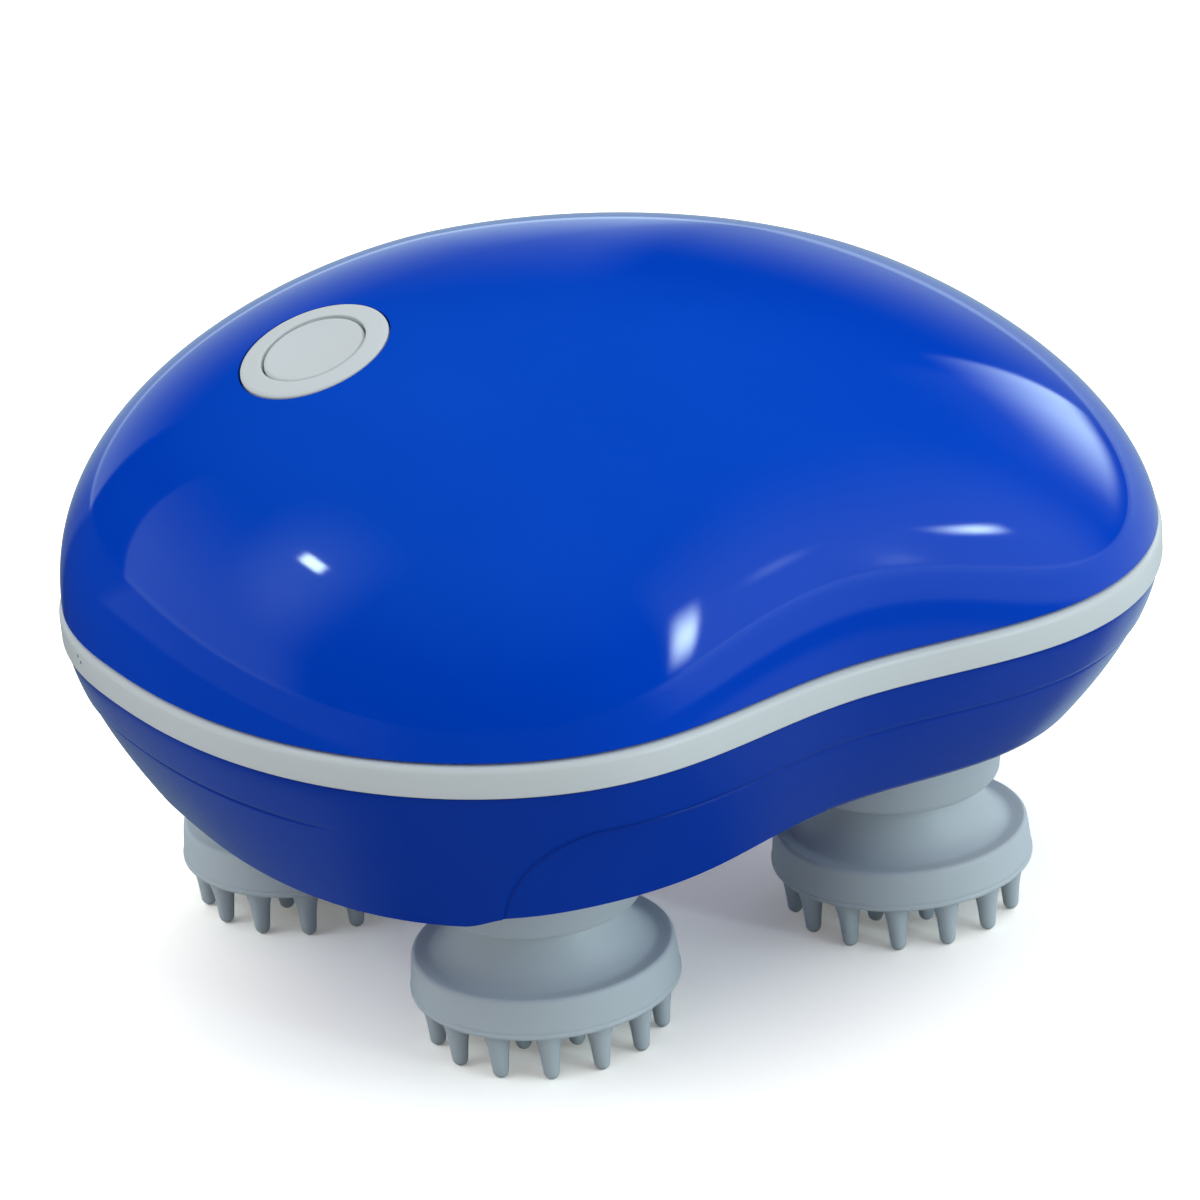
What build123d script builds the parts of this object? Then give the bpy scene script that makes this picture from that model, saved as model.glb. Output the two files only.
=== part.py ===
"""Cordless scalp massager: a bean-shaped housing on four geared silicone massage heads.

Frame: millimetres, +Z up, the spike tips stand on z = 0, and the origin is under the
middle of the housing. -Y is the waisted front, +Y the rounded back, -X the end with the
push button.
"""
from build123d import *
import os
from math import atan2, cos, degrees, exp, pi, radians, sin, sqrt, tan

# ---------------------------------------------------------------- housing outline
half_length = 65.0
front_half_depth = 67.4
back_half_depth = 49.7
outline_centre_y = 4.95
outline_power = 2.32
waist_depth = 10.4
waist_half_width = 30.0
outline_points = 36

# ---------------------------------------------------------------- heights
band_bottom = 44.9
band_height = 4.2
dome_rise = 37.5
bowl_depth = 17.0

# ---------------------------------------------------------------- dome form
dome_profile_power = 1.98
dome_side_power = 2.02
crown_power = 1.79
crown_shift = 10.9
crown_shift_power = 1.5
dome_levels = (0.0, 0.12, 0.26, 0.41, 0.56, 0.69, 0.80, 0.88, 0.94, 0.975, 0.992, 0.998)

# ---------------------------------------------------------------- bowl form
bowl_power = 1.47
bowl_tuck = 7.4
lobe_fullness = 4.4
lobe_angle = -132.0
lobe_spread = 34.0
side_tuck = 3.0
side_angle = -55.0
side_spread = 26.0
loft_steps = 5

# ---------------------------------------------------------------- skirt step on the bowl
skirt_drop = 5.5
step_depth = 0.55
petal_edge_x = -42.0
petal_corner_width = 11.0
petal_fade_angle = -139.0
petal_fade_spread = 13.0
petal_thickness = 1.2
front_rim_lift = 1.5
rim_slope_reach = 70.0

# ---------------------------------------------------------------- walls and fits
wall = 2.2
seam_gap = 0.15
tongue_setback = 1.0
band_proud = 0.4
band_top_round = 0.9
band_bottom_round = 0.3
running_clearance = 0.05
seat_clearance = 0.1

# ---------------------------------------------------------------- floor
floor_recess = 2.7
floor_thickness = 2.4

# ---------------------------------------------------------------- gear train
gear_module = 1.0
main_teeth = 48
output_teeth = 28
pinion_teeth = 14
pressure_angle = 20.0
addendum = 0.9
dedendum = 1.2
backlash = 0.16
flank_steps = 2
gear_thickness = 5.0
gear_lift = 3.0
gear_centre_y = 6.8
main_gear_bore = 2.0
main_hub_radius = 6.0

# ---------------------------------------------------------------- massage heads
front_head_angle = 42.2
back_head_angle = 52.7
head_radius = 16.1
head_rim_radius = 15.7
head_bottom = 6.2
head_rim_height = 11.3
head_dish_radius = 13.4
head_dish_height = 10.8
neck_radius = 9.4
neck_top = 18.0
lip_height = 0.5
lip_depth = 0.25
outer_spikes = 14
outer_spike_ring = 13.6
outer_spike_base = 1.65
outer_spike_tip = 1.08
inner_spikes = 7
inner_spike_ring = 7.2
inner_spike_base = 2.3
inner_spike_tip = 1.0
inner_spike_lift = 0.4
spike_end_radius = 0.5
spike_end_height = 0.8
spike_root = 0.6
head_turns = {"front_left": 9.0, "front_right": 1.0, "back_left": 8.0, "back_right": 4.0}

# ---------------------------------------------------------------- hubs, shafts, collars
hub_radius = 8.0
hub_bottom = 8.5
hub_top = 19.2
shaft_radius = 3.0
shaft_bottom = 9.5
collar_bottom = 17.0
collar_mouth_radius = 10.2
collar_rim_radius = 10.9
collar_shoulder_radius = 12.5
collar_shoulder_rise = 2.4
collar_top_radius = 13.2
collar_waist_radius = 10.2
collar_waist_gap = 0.6
collar_recess = 3.8
spigot_radius = 8.0
bush_radius = 5.0
bush_flange_radius = 6.8
bush_flange_thickness = 1.0
seal_thickness = 1.4

# ---------------------------------------------------------------- gearbox cover and motor
cover_thickness = 2.0
cover_gap = 1.0
cover_margin = 0.6
post_radius = 2.6
post_clearance = 1.6
front_post_y = -30.0
side_post_y = 4.8
motor_radius = 11.0
motor_length = 16.0
motor_shaft_radius = 1.5
motor_boss_radius = 3.4
motor_boss_height = 1.4
motor_nose_radius = 4.0
motor_nose_height = 1.5

# ---------------------------------------------------------------- battery and boards
cell_radius = 9.1
cell_length = 65.0
cell_button_radius = 2.8
cell_button_length = 1.2
front_cell_y = -27.5
cell_gap = 0.4
cradle_thickness = 1.2
cradle_wall = 1.6
cradle_wall_height = 13.0
cradle_back_y = 14.0
board_length = 44.0
board_width = 25.0
board_middle_x = 9.0
board_thickness = 1.6
board_gap = 3.0
board_post_radius = 2.0
board_chips = ((-12.0, -3.0, 7.0, 7.0, 1.2), (2.0, -6.0, 5.0, 4.0, 1.6), (13.0, 3.0, 6.0, 6.0, 2.8))
board_post_x = 18.0

# ---------------------------------------------------------------- push button
button_x = -37.3
button_y = -0.8
bezel_radius = 9.0
bezel_gap = 0.2
bezel_crown_radius = 75.0
bezel_crown = 0.15
bezel_depth = 1.6
button_radius = 6.1
button_gap = 0.25
button_dish_radius = 40.0
button_travel = 0.8
button_flange_radius = 7.2
button_flange_thickness = 0.8
button_stem_radius = 2.0
button_seal_thickness = 0.4
button_bore_radius = 7.8
button_boss_radius = 10.3
button_boss_depth = 9.0
switch_size = 6.0
switch_height = 2.8
plunger_radius = 1.7
plunger_height = 0.7
switch_board_thickness = 1.2

# ---------------------------------------------------------------- charging pad and screws
charge_pad_radius = 7.0
charge_pad_thickness = 1.2
contact_radius = 1.5
contact_spacing = 7.0
contact_proud = 0.2
screw_radius = 1.0
screw_head_radius = 2.3
screw_head_height = 1.3
screw_length = 8.0
screw_recess_radius = 2.6
screw_web = 2.4
screw_boss_radius = 4.0
side_screw_setback = 15.0
side_screw_y = 4.0
front_screw_y = -41.0

# ---------------------------------------------------------------- derived heights
band_top = band_bottom + band_height
bowl_bottom = band_bottom - bowl_depth
step_height = band_bottom - skirt_drop
floor_bottom = bowl_bottom + floor_recess
floor_top = floor_bottom + floor_thickness
gear_bottom = floor_top + gear_lift
gear_top = gear_bottom + gear_thickness
cover_bottom = gear_top + cover_gap + bush_flange_thickness
cover_top = cover_bottom + cover_thickness
main_radius = gear_module * main_teeth / 2
output_radius = gear_module * output_teeth / 2
pinion_radius = gear_module * pinion_teeth / 2
head_distance = main_radius + output_radius
motor_y = gear_centre_y + main_radius + pinion_radius
cell_centre_height = cover_top + cradle_thickness + cell_radius
board_bottom = cell_centre_height + cell_radius + board_gap
side_screw_x = half_length - side_screw_setback
screw_spots = ((-side_screw_x, side_screw_y), (side_screw_x, side_screw_y), (0.0, front_screw_y))

head_places = {
    "front_left": -90.0 - front_head_angle,
    "front_right": -90.0 + front_head_angle,
    "back_left": 90.0 + back_head_angle,
    "back_right": 90.0 - back_head_angle,
}


def head_centre(place):
    """Plan position of one head's axis, on the circle round the main gear."""
    angle = radians(head_places[place])
    return head_distance * cos(angle), gear_centre_y + head_distance * sin(angle)


# ---------------------------------------------------------------- housing surfaces
def bean_point(angle, inset, power, waist):
    """One point of the bean outline about its centre, drawn in by the inset."""
    side = cos(angle)
    depth = sin(angle)
    half_depth = (front_half_depth if depth < 0 else back_half_depth) - inset
    span = half_length - inset
    reach = (abs(side / span) ** power + abs(depth / half_depth) ** power) ** (-1 / power)
    x = reach * side
    y = reach * depth
    if depth < 0:
        y += waist * exp(-((x / waist_half_width) ** 2)) * depth ** 2
    return x, y


def closed_face(points):
    """Face inside a smooth closed curve through the points."""
    return Face(Wire([Edge.make_spline(points, periodic=True)]))


def outline_angles():
    return [2 * pi * index / outline_points for index in range(outline_points)]


def band_face(inset, height):
    """Outline at the trim band, drawn in by the inset."""
    points = []
    for angle in outline_angles():
        x, y = bean_point(angle, inset, outline_power, waist_depth)
        points.append(Vector(x, outline_centre_y + y, height))
    return closed_face(points)


def dome_face(level, inset):
    """Section of the dome at a share of its rise; the waist fades and the crown leans to -X."""
    scale = (1 - level ** dome_profile_power) ** (1 / dome_side_power)
    power = outline_power + (crown_power - outline_power) * level
    shift = -crown_shift * level ** crown_shift_power
    height = band_top + seam_gap + (dome_rise - seam_gap - inset) * level
    points = []
    for angle in outline_angles():
        x, y = bean_point(angle, inset, power, waist_depth * (1 - level))
        points.append(Vector(shift + scale * x, outline_centre_y + scale * y, height))
    return closed_face(points)


def dome_solid(inset):
    """Closed dome from the seam to a small flat at the crown."""
    return Solid.make_loft([dome_face(level, inset).outer_wire() for level in dome_levels])


def angle_bump(angle, centre, spread):
    """Bell of height 1 about an angle in degrees, measured the short way round."""
    away = (degrees(angle) - centre + 180) % 360 - 180
    return exp(-((away / spread) ** 2))


def bowl_inset(angle, level):
    """How far the bowl has drawn in at a share of its depth."""
    full = bowl_tuck - lobe_fullness * angle_bump(angle, lobe_angle, lobe_spread)
    full += side_tuck * angle_bump(angle, side_angle, side_spread)
    return full * level ** bowl_power


def bowl_point(angle, height, inset):
    """Point of the bowl at a height, drawn in by its own form and by the inset."""
    level = (band_bottom - height) / bowl_depth
    x, y = bean_point(angle, 0, outline_power, waist_depth)
    reach = sqrt(x * x + y * y)
    scale = (reach - bowl_inset(angle, max(level, 0)) - inset) / reach
    return Vector(scale * x, outline_centre_y + scale * y, height)


def bowl_face(height, inset):
    return closed_face([bowl_point(angle, height, inset) for angle in outline_angles()])


def even_heights(top, bottom):
    return [top + (bottom - top) * step / loft_steps for step in range(loft_steps + 1)]


def bowl_wire(height, inset):
    """Closed curve round the bowl at a height; the inset may vary with the angle."""
    if callable(inset):
        points = [bowl_point(angle, height, inset(angle)) for angle in outline_angles()]
        return closed_face(points).outer_wire()
    return bowl_face(height, inset).outer_wire()


def bowl_solid(top, bottom, inset):
    """Closed bowl between two heights, drawn in by the inset all round."""
    return Solid.make_loft([bowl_wire(height, inset) for height in even_heights(top, bottom)])


def curved_faces(solid):
    return [face for face in solid.faces() if face.geom_type != GeomType.PLANE]


def step_inset(angle):
    """Depth of the step below the skirt, which runs out at the front left lobe."""
    return step_depth * (1 - 0.9 * angle_bump(angle, petal_fade_angle, petal_fade_spread))


def prism(face, height):
    return extrude(face, amount=height)


def tube(outer, inner, bottom, top):
    """Round tube standing on the plan origin."""
    ring = Circle(outer) - Circle(inner)
    return Pos(0, 0, bottom) * extrude(ring, amount=top - bottom)


def rod(radius, bottom, top):
    return Pos(0, 0, bottom) * extrude(Circle(radius), amount=top - bottom)


# ---------------------------------------------------------------- push button frame
def dome_height(x, y):
    """Height of the dome's outside over a plan point, by halving."""
    low, high = 0.0, 1.0
    for _ in range(40):
        level = (low + high) / 2
        scale = (1 - level ** dome_profile_power) ** (1 / dome_side_power)
        power = outline_power + (crown_power - outline_power) * level
        shift = -crown_shift * level ** crown_shift_power
        plan_x = x - shift
        plan_y = y - outline_centre_y
        edge_x, edge_y = bean_point(atan2(plan_y, plan_x), 0, power, waist_depth * (1 - level))
        if plan_x ** 2 + plan_y ** 2 < scale ** 2 * (edge_x ** 2 + edge_y ** 2):
            low = level
        else:
            high = level
    return band_top + seam_gap + (dome_rise - seam_gap) * low


def button_plane():
    """Plane on the dome at the button, its z axis along the dome's normal."""
    height = dome_height(button_x, button_y)
    reach = bezel_radius
    rise_x = dome_height(button_x + reach, button_y) - dome_height(button_x - reach, button_y)
    rise_y = dome_height(button_x, button_y + reach) - dome_height(button_x, button_y - reach)
    slope_x = rise_x / (2 * reach)
    slope_y = rise_y / (2 * reach)
    normal = Vector(-slope_x, -slope_y, 1).normalized()
    sideways = Vector(1, 0, slope_x).normalized()
    return Plane(origin=(button_x, button_y, height), x_dir=sideways, z_dir=normal)


button_frame = button_plane().location

bezel_seat = -bezel_depth - button_seal_thickness
flange_top = -bezel_depth - seat_clearance
flange_bottom = flange_top - button_flange_thickness
switch_board_top = -button_boss_depth
plunger_top = switch_board_top + switch_height + plunger_height
stem_bottom = plunger_top + button_travel + seat_clearance


# ---------------------------------------------------------------- housing pieces
def screw_boss_envelope():
    """Dome's middle surface carried down to the lower shell, where the bosses end."""
    skirt = prism(dome_face(0, wall / 2), band_bottom - band_top - seam_gap)
    return dome_solid(wall / 2) + skirt


def upper_shell():
    """Glossy dome with the button well and its boss inside."""
    outside = dome_solid(0)
    inside = dome_solid(wall)
    rim = Face(dome_face(0, 0).outer_wire(), [dome_face(0, wall).outer_wire()])
    crowns = [solid.faces().sort_by(Axis.Z)[-1] for solid in (outside, inside)]
    shell = Solid(Shell(curved_faces(outside) + curved_faces(inside) + crowns + [rim]))
    shell += outside & (button_frame * rod(button_boss_radius, -button_boss_depth, 0))
    for x, y in screw_spots:
        boss = Pos(x, y, 0) * rod(screw_boss_radius - 1, band_bottom, band_top + dome_rise)
        shell += boss & screw_boss_envelope()
        shell -= Pos(x, y, 0) * rod(screw_radius, band_bottom - 1, band_bottom + screw_length)
    shell -= button_frame * rod(bezel_radius + bezel_gap, bezel_seat, bezel_radius)
    shell -= button_frame * rod(button_bore_radius, -button_boss_depth - wall, 0)
    return shell


def trim_band():
    """Light band between the shells, proud of them, on a tongue that both seat on."""
    low = band_bottom + seam_gap
    high = band_top - seam_gap
    outer = prism(band_face(-band_proud, low), high - low)
    outer = fillet(outer.edges().group_by(Axis.Z)[-1], band_top_round)
    outer = fillet(outer.edges().group_by(Axis.Z)[0], band_bottom_round)
    tongue = prism(band_face(tongue_setback, band_bottom), band_height + seam_gap)
    hollow = prism(band_face(wall + tongue_setback, band_bottom - wall), band_height + 2 * wall)
    return outer + tongue - hollow


def skirt_petal():
    """Patch that carries the skirt's full surface down over the front left lobe."""
    faces = []
    for inset in (0, petal_thickness):
        faces += curved_faces(bowl_solid(step_height, bowl_bottom, inset))
    for height in (step_height, bowl_bottom):
        faces.append(Face(bowl_wire(height, 0), [bowl_wire(height, petal_thickness)]))
    rise = step_height - bowl_bottom
    corner = Pos(petal_edge_x + petal_corner_width, bowl_bottom) * Ellipse(petal_corner_width, rise)
    left = petal_edge_x + petal_corner_width - half_length
    outline = Pos(left, bowl_bottom - 1) * Rectangle(
        half_length, rise + 2, align=(Align.MIN, Align.MIN)
    )
    window = extrude(Plane.XZ * (outline - corner), amount=2 * half_length)
    fade_x, fade_y = bean_point(radians(petal_fade_angle), 0, outline_power, waist_depth)
    window &= Pos(0, outline_centre_y + fade_y - half_length, 0) * Box(
        4 * half_length, 2 * half_length, 4 * half_length
    )
    return Solid(Shell(faces)) & window


def rim_lift_cutter():
    """Takes the rim up at the front, from the petal's edge round to the right end."""
    profile = Plane.YZ * Polygon(
        (-2 * half_length, bowl_bottom - wall),
        (rim_slope_reach - half_length, bowl_bottom - wall),
        (rim_slope_reach - half_length, bowl_bottom),
        (-half_length, bowl_bottom + front_rim_lift),
        (-2 * half_length, bowl_bottom + front_rim_lift),
        align=None,
    )
    return Pos(petal_edge_x, 0, 0) * extrude(profile, amount=2 * half_length)


def lower_shell():
    """Bowl with the skirt step outside, a recessed floor, and the screw bosses."""
    recess = bowl_face(bowl_bottom, wall)
    skirt = bowl_solid(band_bottom, step_height, 0)
    body = bowl_solid(step_height, bowl_bottom, step_inset)
    cavity = bowl_solid(band_bottom, floor_top, wall)
    faces = [bowl_face(floor_top, wall), Pos(0, 0, floor_recess) * recess]
    for solid in (skirt, body, cavity, prism(recess, floor_recess)):
        faces += curved_faces(solid)
    rings = [
        (bowl_wire(band_bottom, 0), bowl_wire(band_bottom, wall)),
        (bowl_wire(step_height, 0), bowl_wire(step_height, step_inset)),
        (bowl_wire(bowl_bottom, step_inset), recess.outer_wire()),
    ]
    faces += [Face(outer, [inner]) for outer, inner in rings]
    shell = Solid(Shell(faces))
    shell += skirt_petal()
    shell -= rim_lift_cutter()
    for place in head_places:
        x, y = head_centre(place)
        shell -= Pos(x, y, 0) * rod(spigot_radius + seat_clearance, floor_bottom - 1, floor_top + 1)
    web = band_bottom - screw_web
    for x, y in screw_spots:
        shell += Pos(x, y, 0) * rod(screw_boss_radius, floor_top, band_bottom)
        shell -= Pos(x, y, 0) * rod(screw_recess_radius, floor_bottom - 1, web)
        shell -= Pos(x, y, 0) * rod(screw_radius + seat_clearance, web - 1, band_bottom + 1)
    well = rod(charge_pad_radius + seat_clearance, floor_bottom - 1, floor_bottom + charge_pad_thickness)
    shell -= Pos(0, gear_centre_y, 0) * well
    pin_boss = rod(main_gear_bore + 1.5, floor_top, gear_bottom - seat_clearance)
    return shell + Pos(0, gear_centre_y, 0) * pin_boss


def base_screw(x, y):
    """Cross-head screw from below, through the lower shell's boss into the upper one."""
    seat = band_bottom - screw_web
    head = rod(screw_head_radius, seat - screw_head_height, seat)
    slot_depth = Pos(0, 0, seat - screw_head_height)
    slot = slot_depth * Box(2 * screw_radius, 0.6, 1.2)
    cross = slot_depth * Box(0.6, 2 * screw_radius, 1.2)
    return Pos(x, y, 0) * (head + rod(screw_radius, seat, seat + screw_length) - slot - cross)


# ---------------------------------------------------------------- heads and their drive
def spike(base, tip, bottom):
    """Tapered spike with a blunt rounded end, standing on its end."""
    profile = Plane.XZ * make_face(
        Polyline(
            (0, bottom),
            (spike_end_radius, bottom),
            (tip, bottom + spike_end_height),
            (base, head_bottom),
            (base, head_bottom + spike_root),
            (0, head_bottom + spike_root),
            close=True,
        )
    )
    return revolve(profile, Axis.Z)


def spike_ring(count, ring, base, tip, bottom):
    one = spike(base, tip, bottom)
    return [Rot(0, 0, 360 * index / count) * (Pos(ring, 0, 0) * one) for index in range(count)]


def massage_head():
    """Soft disc with a trumpet neck, a rolled rim and two rings of spikes."""
    rim_top = head_rim_height
    neck = Spline(
        (neck_radius, neck_top),
        (neck_radius + 0.5, neck_top - 3.2),
        ((neck_radius + head_dish_radius) / 2 + 0.3, head_dish_height + 1.2),
        (head_dish_radius, head_dish_height),
        tangents=((0, -1), (1, -0.05)),
    )
    outline = [
        neck,
        Line((head_dish_radius, head_dish_height), (head_rim_radius - 0.8, rim_top - 0.1)),
        ThreePointArc(
            (head_rim_radius - 0.8, rim_top - 0.1),
            (head_rim_radius - 0.25, rim_top - 0.15),
            (head_rim_radius, rim_top - 0.7),
        ),
        Line((head_rim_radius, rim_top - 0.7), (head_radius, head_bottom + lip_height)),
        Line((head_radius, head_bottom + lip_height), (head_radius - lip_depth, head_bottom)),
        Line((head_radius - lip_depth, head_bottom), (0, head_bottom)),
        Line((0, head_bottom), (0, hub_bottom)),
        Line((0, hub_bottom), (hub_radius, hub_bottom)),
        Line((hub_radius, hub_bottom), (hub_radius, neck_top)),
        Line((hub_radius, neck_top), (neck_radius, neck_top)),
    ]
    head = revolve(Plane.XZ * make_face(outline), Axis.Z)
    spikes = spike_ring(outer_spikes, outer_spike_ring, outer_spike_base, outer_spike_tip, 0)
    spikes += spike_ring(
        inner_spikes, inner_spike_ring, inner_spike_base, inner_spike_tip, inner_spike_lift
    )
    for one in spikes:
        head += one
    return head


def head_hub():
    """Rigid core that the soft head grips, pressed on the output shaft."""
    hub = rod(hub_radius - 0.01, hub_bottom, hub_top)
    return hub - rod(shaft_radius, shaft_bottom, hub_top + 1)


def output_shaft():
    return rod(shaft_radius, shaft_bottom, cover_top - 0.2)


def collar():
    """Cup round the head's neck, with a spigot that locates in the floor."""
    shoulder = collar_bottom + collar_shoulder_rise
    ceiling = collar_bottom + collar_recess
    waist = bowl_bottom - collar_waist_gap
    outline = [
        Line((collar_mouth_radius, ceiling), (collar_mouth_radius, collar_bottom)),
        Line((collar_mouth_radius, collar_bottom), (collar_rim_radius, collar_bottom)),
        ThreePointArc(
            (collar_rim_radius, collar_bottom),
            (collar_rim_radius + 1.15, collar_bottom + 0.75),
            (collar_shoulder_radius, shoulder),
        ),
        Line((collar_shoulder_radius, shoulder), (collar_top_radius, waist)),
        Line((collar_top_radius, waist), (collar_waist_radius, waist)),
        Line((collar_waist_radius, waist), (collar_waist_radius, floor_bottom)),
        Line((collar_waist_radius, floor_bottom), (spigot_radius, floor_bottom)),
        Line((spigot_radius, floor_bottom), (spigot_radius, floor_top)),
        Line((spigot_radius, floor_top), (bush_radius, floor_top)),
        Line((bush_radius, floor_top), (bush_radius, ceiling)),
        Line((bush_radius, ceiling), (collar_mouth_radius, ceiling)),
    ]
    return revolve(Plane.XZ * make_face(outline), Axis.Z)


def output_bush():
    """Flanged sleeve that carries the output shaft in the collar."""
    bottom = collar_bottom + collar_recess + seal_thickness
    sleeve = tube(bush_radius, shaft_radius + running_clearance, bottom, floor_top)
    flange = tube(
        bush_flange_radius, shaft_radius + running_clearance, floor_top, floor_top + bush_flange_thickness
    )
    return sleeve + flange


def shaft_seal():
    """Lip seal below the bush, clear of the turning shaft."""
    bottom = collar_bottom + collar_recess
    return tube(bush_radius, shaft_radius + running_clearance, bottom, bottom + seal_thickness)


def involute(angle):
    return tan(angle) - angle


def gear_face(teeth):
    """Spur gear outline with involute flanks and a tooth centred on the x axis."""
    pitch = gear_module * teeth / 2
    base = pitch * cos(radians(pressure_angle))
    tip = pitch + addendum * gear_module
    root = pitch - dedendum * gear_module
    half_tooth = pi / (2 * teeth) - backlash / (4 * pitch) + involute(radians(pressure_angle))
    start = max(base, root)
    flank = []
    for step in range(flank_steps + 1):
        radius = start + (tip - start) * step / flank_steps
        turn = sqrt(max((radius / base) ** 2 - 1, 0))
        flank.append((radius, half_tooth - (turn - atan2(turn, 1))))
    if root < start:
        flank.insert(0, (root, flank[0][1]))
    points = []
    for tooth in range(teeth):
        middle = 2 * pi * tooth / teeth
        for radius, half in flank:
            points.append((radius * cos(middle - half), radius * sin(middle - half)))
        for radius, half in reversed(flank):
            points.append((radius * cos(middle + half), radius * sin(middle + half)))
    return make_face(Polyline(*points, close=True))


def mesh_turn(direction, teeth):
    """Turn in degrees that puts a gear's gap over the main gear's tooth towards it."""
    main_share = direction * main_teeth / 360
    return direction + 180 - (0.5 - main_share) * 360 / teeth


def spur_gear(teeth, bore, hub, hub_height):
    gear = Pos(0, 0, gear_bottom) * extrude(gear_face(teeth), amount=gear_thickness)
    gear += rod(hub, gear_bottom - hub_height, gear_top)
    return gear - rod(bore, gear_bottom - hub_height - 1, gear_top + 1)


def output_gear():
    return spur_gear(output_teeth, shaft_radius, shaft_radius + 2.4, 0.5)


def main_gear():
    """Large driven gear between the four output gears, webbed to save weight."""
    gear = spur_gear(main_teeth, main_gear_bore, main_hub_radius, 0)
    web = tube(main_radius - 4.5, main_hub_radius, gear_bottom + 3.0, gear_top + 1)
    under = tube(main_radius - 4.5, main_hub_radius, gear_bottom - 1, gear_bottom + 1.2)
    return gear - web - under


def main_gear_shaft():
    """Fixed pin between the floor and the gearbox cover."""
    return rod(main_gear_bore - running_clearance, gear_bottom - seat_clearance, cover_top)


def gear_cover():
    """Plate over the gears that carries the shaft ends, the motor and the battery."""
    rims = []
    for place in head_places:
        x, y = head_centre(place)
        rims += (Pos(x, y) * Circle(output_radius + addendum + cover_margin)).edges()
    rims += (Pos(0, motor_y) * Circle(motor_radius + cover_margin)).edges()
    cover = Pos(0, 0, cover_bottom) * extrude(make_hull(rims), amount=cover_thickness)
    for x, y in cover_posts():
        cover += Pos(x, y, 0) * rod(post_radius, floor_top, cover_bottom)
    for place in head_places:
        x, y = head_centre(place)
        cover -= Pos(x, y, 0) * rod(shaft_radius + running_clearance, cover_bottom - 1, cover_top + 1)
    pin_hole = rod(main_gear_bore - running_clearance, cover_bottom - 1, cover_top + 1)
    cover -= Pos(0, gear_centre_y, 0) * pin_hole
    cover -= Pos(0, motor_y, 0) * rod(motor_boss_radius, cover_bottom - 1, cover_top + 1)
    for x, y in screw_spots:
        cover -= Pos(x, y, 0) * rod(screw_boss_radius + seat_clearance, cover_bottom - 1, cover_top + 1)
    return cover


def cover_posts():
    """Spots between the gears where the cover stands on the floor."""
    side = main_radius + addendum + post_radius + post_clearance
    return [(0, front_post_y), (side, side_post_y), (-side, side_post_y)]


def motor_can():
    """Motor body, with the boss that centres it in the cover."""
    top = cover_top + motor_length
    can = rod(motor_radius, cover_top, top)
    can = fillet(can.edges().group_by(Axis.Z)[-1], 1.2)
    can += rod(motor_nose_radius, top, top + motor_nose_height)
    can += rod(motor_boss_radius, cover_top - motor_boss_height, cover_top)
    can -= rod(motor_shaft_radius + running_clearance, cover_bottom, top - 2)
    return Pos(0, motor_y, 0) * can


def motor_shaft():
    return Pos(0, motor_y, 0) * rod(motor_shaft_radius, gear_bottom, cover_top + motor_length - 2.5)


def motor_pinion():
    turn = mesh_turn(90.0, pinion_teeth)
    return Pos(0, motor_y, 0) * Rot(0, 0, turn) * spur_gear(pinion_teeth, motor_shaft_radius, 4.0, 0)


# ---------------------------------------------------------------- battery and boards
def battery_cell(y, turn):
    """Round cell lying along X, with its raised end contact."""
    body = rod(cell_radius, -cell_length / 2, cell_length / 2 - cell_button_length)
    end = rod(cell_button_radius, cell_length / 2 - cell_button_length, cell_length / 2)
    lying = Rot(0, 90, 0) * (body + end)
    return Pos(0, y, cell_centre_height) * Rot(0, 0, turn) * lying


def battery_cradle():
    """Tray on the gearbox cover with end walls for the cells and posts for the board."""
    inside = cell_length / 2 + cell_gap
    front = front_cell_y - cell_radius - cell_gap
    length = 2 * (inside + cradle_wall)
    middle_y = (front + cradle_back_y) / 2
    depth = cradle_back_y - front
    tray = Pos(0, middle_y, cover_top + cradle_thickness / 2) * Box(length, depth, cradle_thickness)
    wall_depth = 4 * cell_radius + 3 * cell_gap
    for side in (-1, 1):
        wall_x = side * (inside + cradle_wall / 2)
        tray += Pos(wall_x, front + wall_depth / 2, cover_top + cradle_wall_height / 2) * Box(
            cradle_wall, wall_depth, cradle_wall_height
        )
        post_x = board_middle_x + side * board_post_x
        for y in board_post_rows():
            tray += Pos(post_x, y, 0) * rod(board_post_radius, cover_top, board_bottom)
    return tray


def rear_cell_y():
    return front_cell_y + 2 * cell_radius + cell_gap


def board_post_rows():
    first = rear_cell_y() + cell_radius + cell_gap + board_post_radius + 0.5
    return first, cradle_back_y - board_post_radius - 0.3


def control_board():
    """Main circuit board over the cells, with its larger components."""
    back = cradle_back_y
    middle_y = back - board_width / 2
    board = Pos(board_middle_x, middle_y, board_bottom + board_thickness / 2) * Box(
        board_length, board_width, board_thickness
    )
    top = board_bottom + board_thickness
    for x, y, length, width, height in board_chips:
        board += Pos(board_middle_x + x, middle_y + y, top + height / 2) * Box(length, width, height)
    return board


# ---------------------------------------------------------------- push button pieces
def crown_drop(radius, distance):
    """Fall of a spherical crown of the radius at a distance from its middle."""
    return radius - sqrt(radius ** 2 - distance ** 2)


def button_bezel():
    """Ring flush with the dome round the button, crowned like the dome."""
    inner = button_radius + button_gap
    middle = (inner + bezel_radius) / 2
    crown = [
        (distance, bezel_crown - crown_drop(bezel_crown_radius, distance))
        for distance in (bezel_radius, middle, inner)
    ]
    outline = [
        Line((inner, -bezel_depth), (bezel_radius, -bezel_depth)),
        Line((bezel_radius, -bezel_depth), crown[0]),
        ThreePointArc(*crown),
        Line(crown[2], (inner, -bezel_depth)),
    ]
    return button_frame * revolve(Plane.XZ * make_face(outline), Axis.Z)


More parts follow.
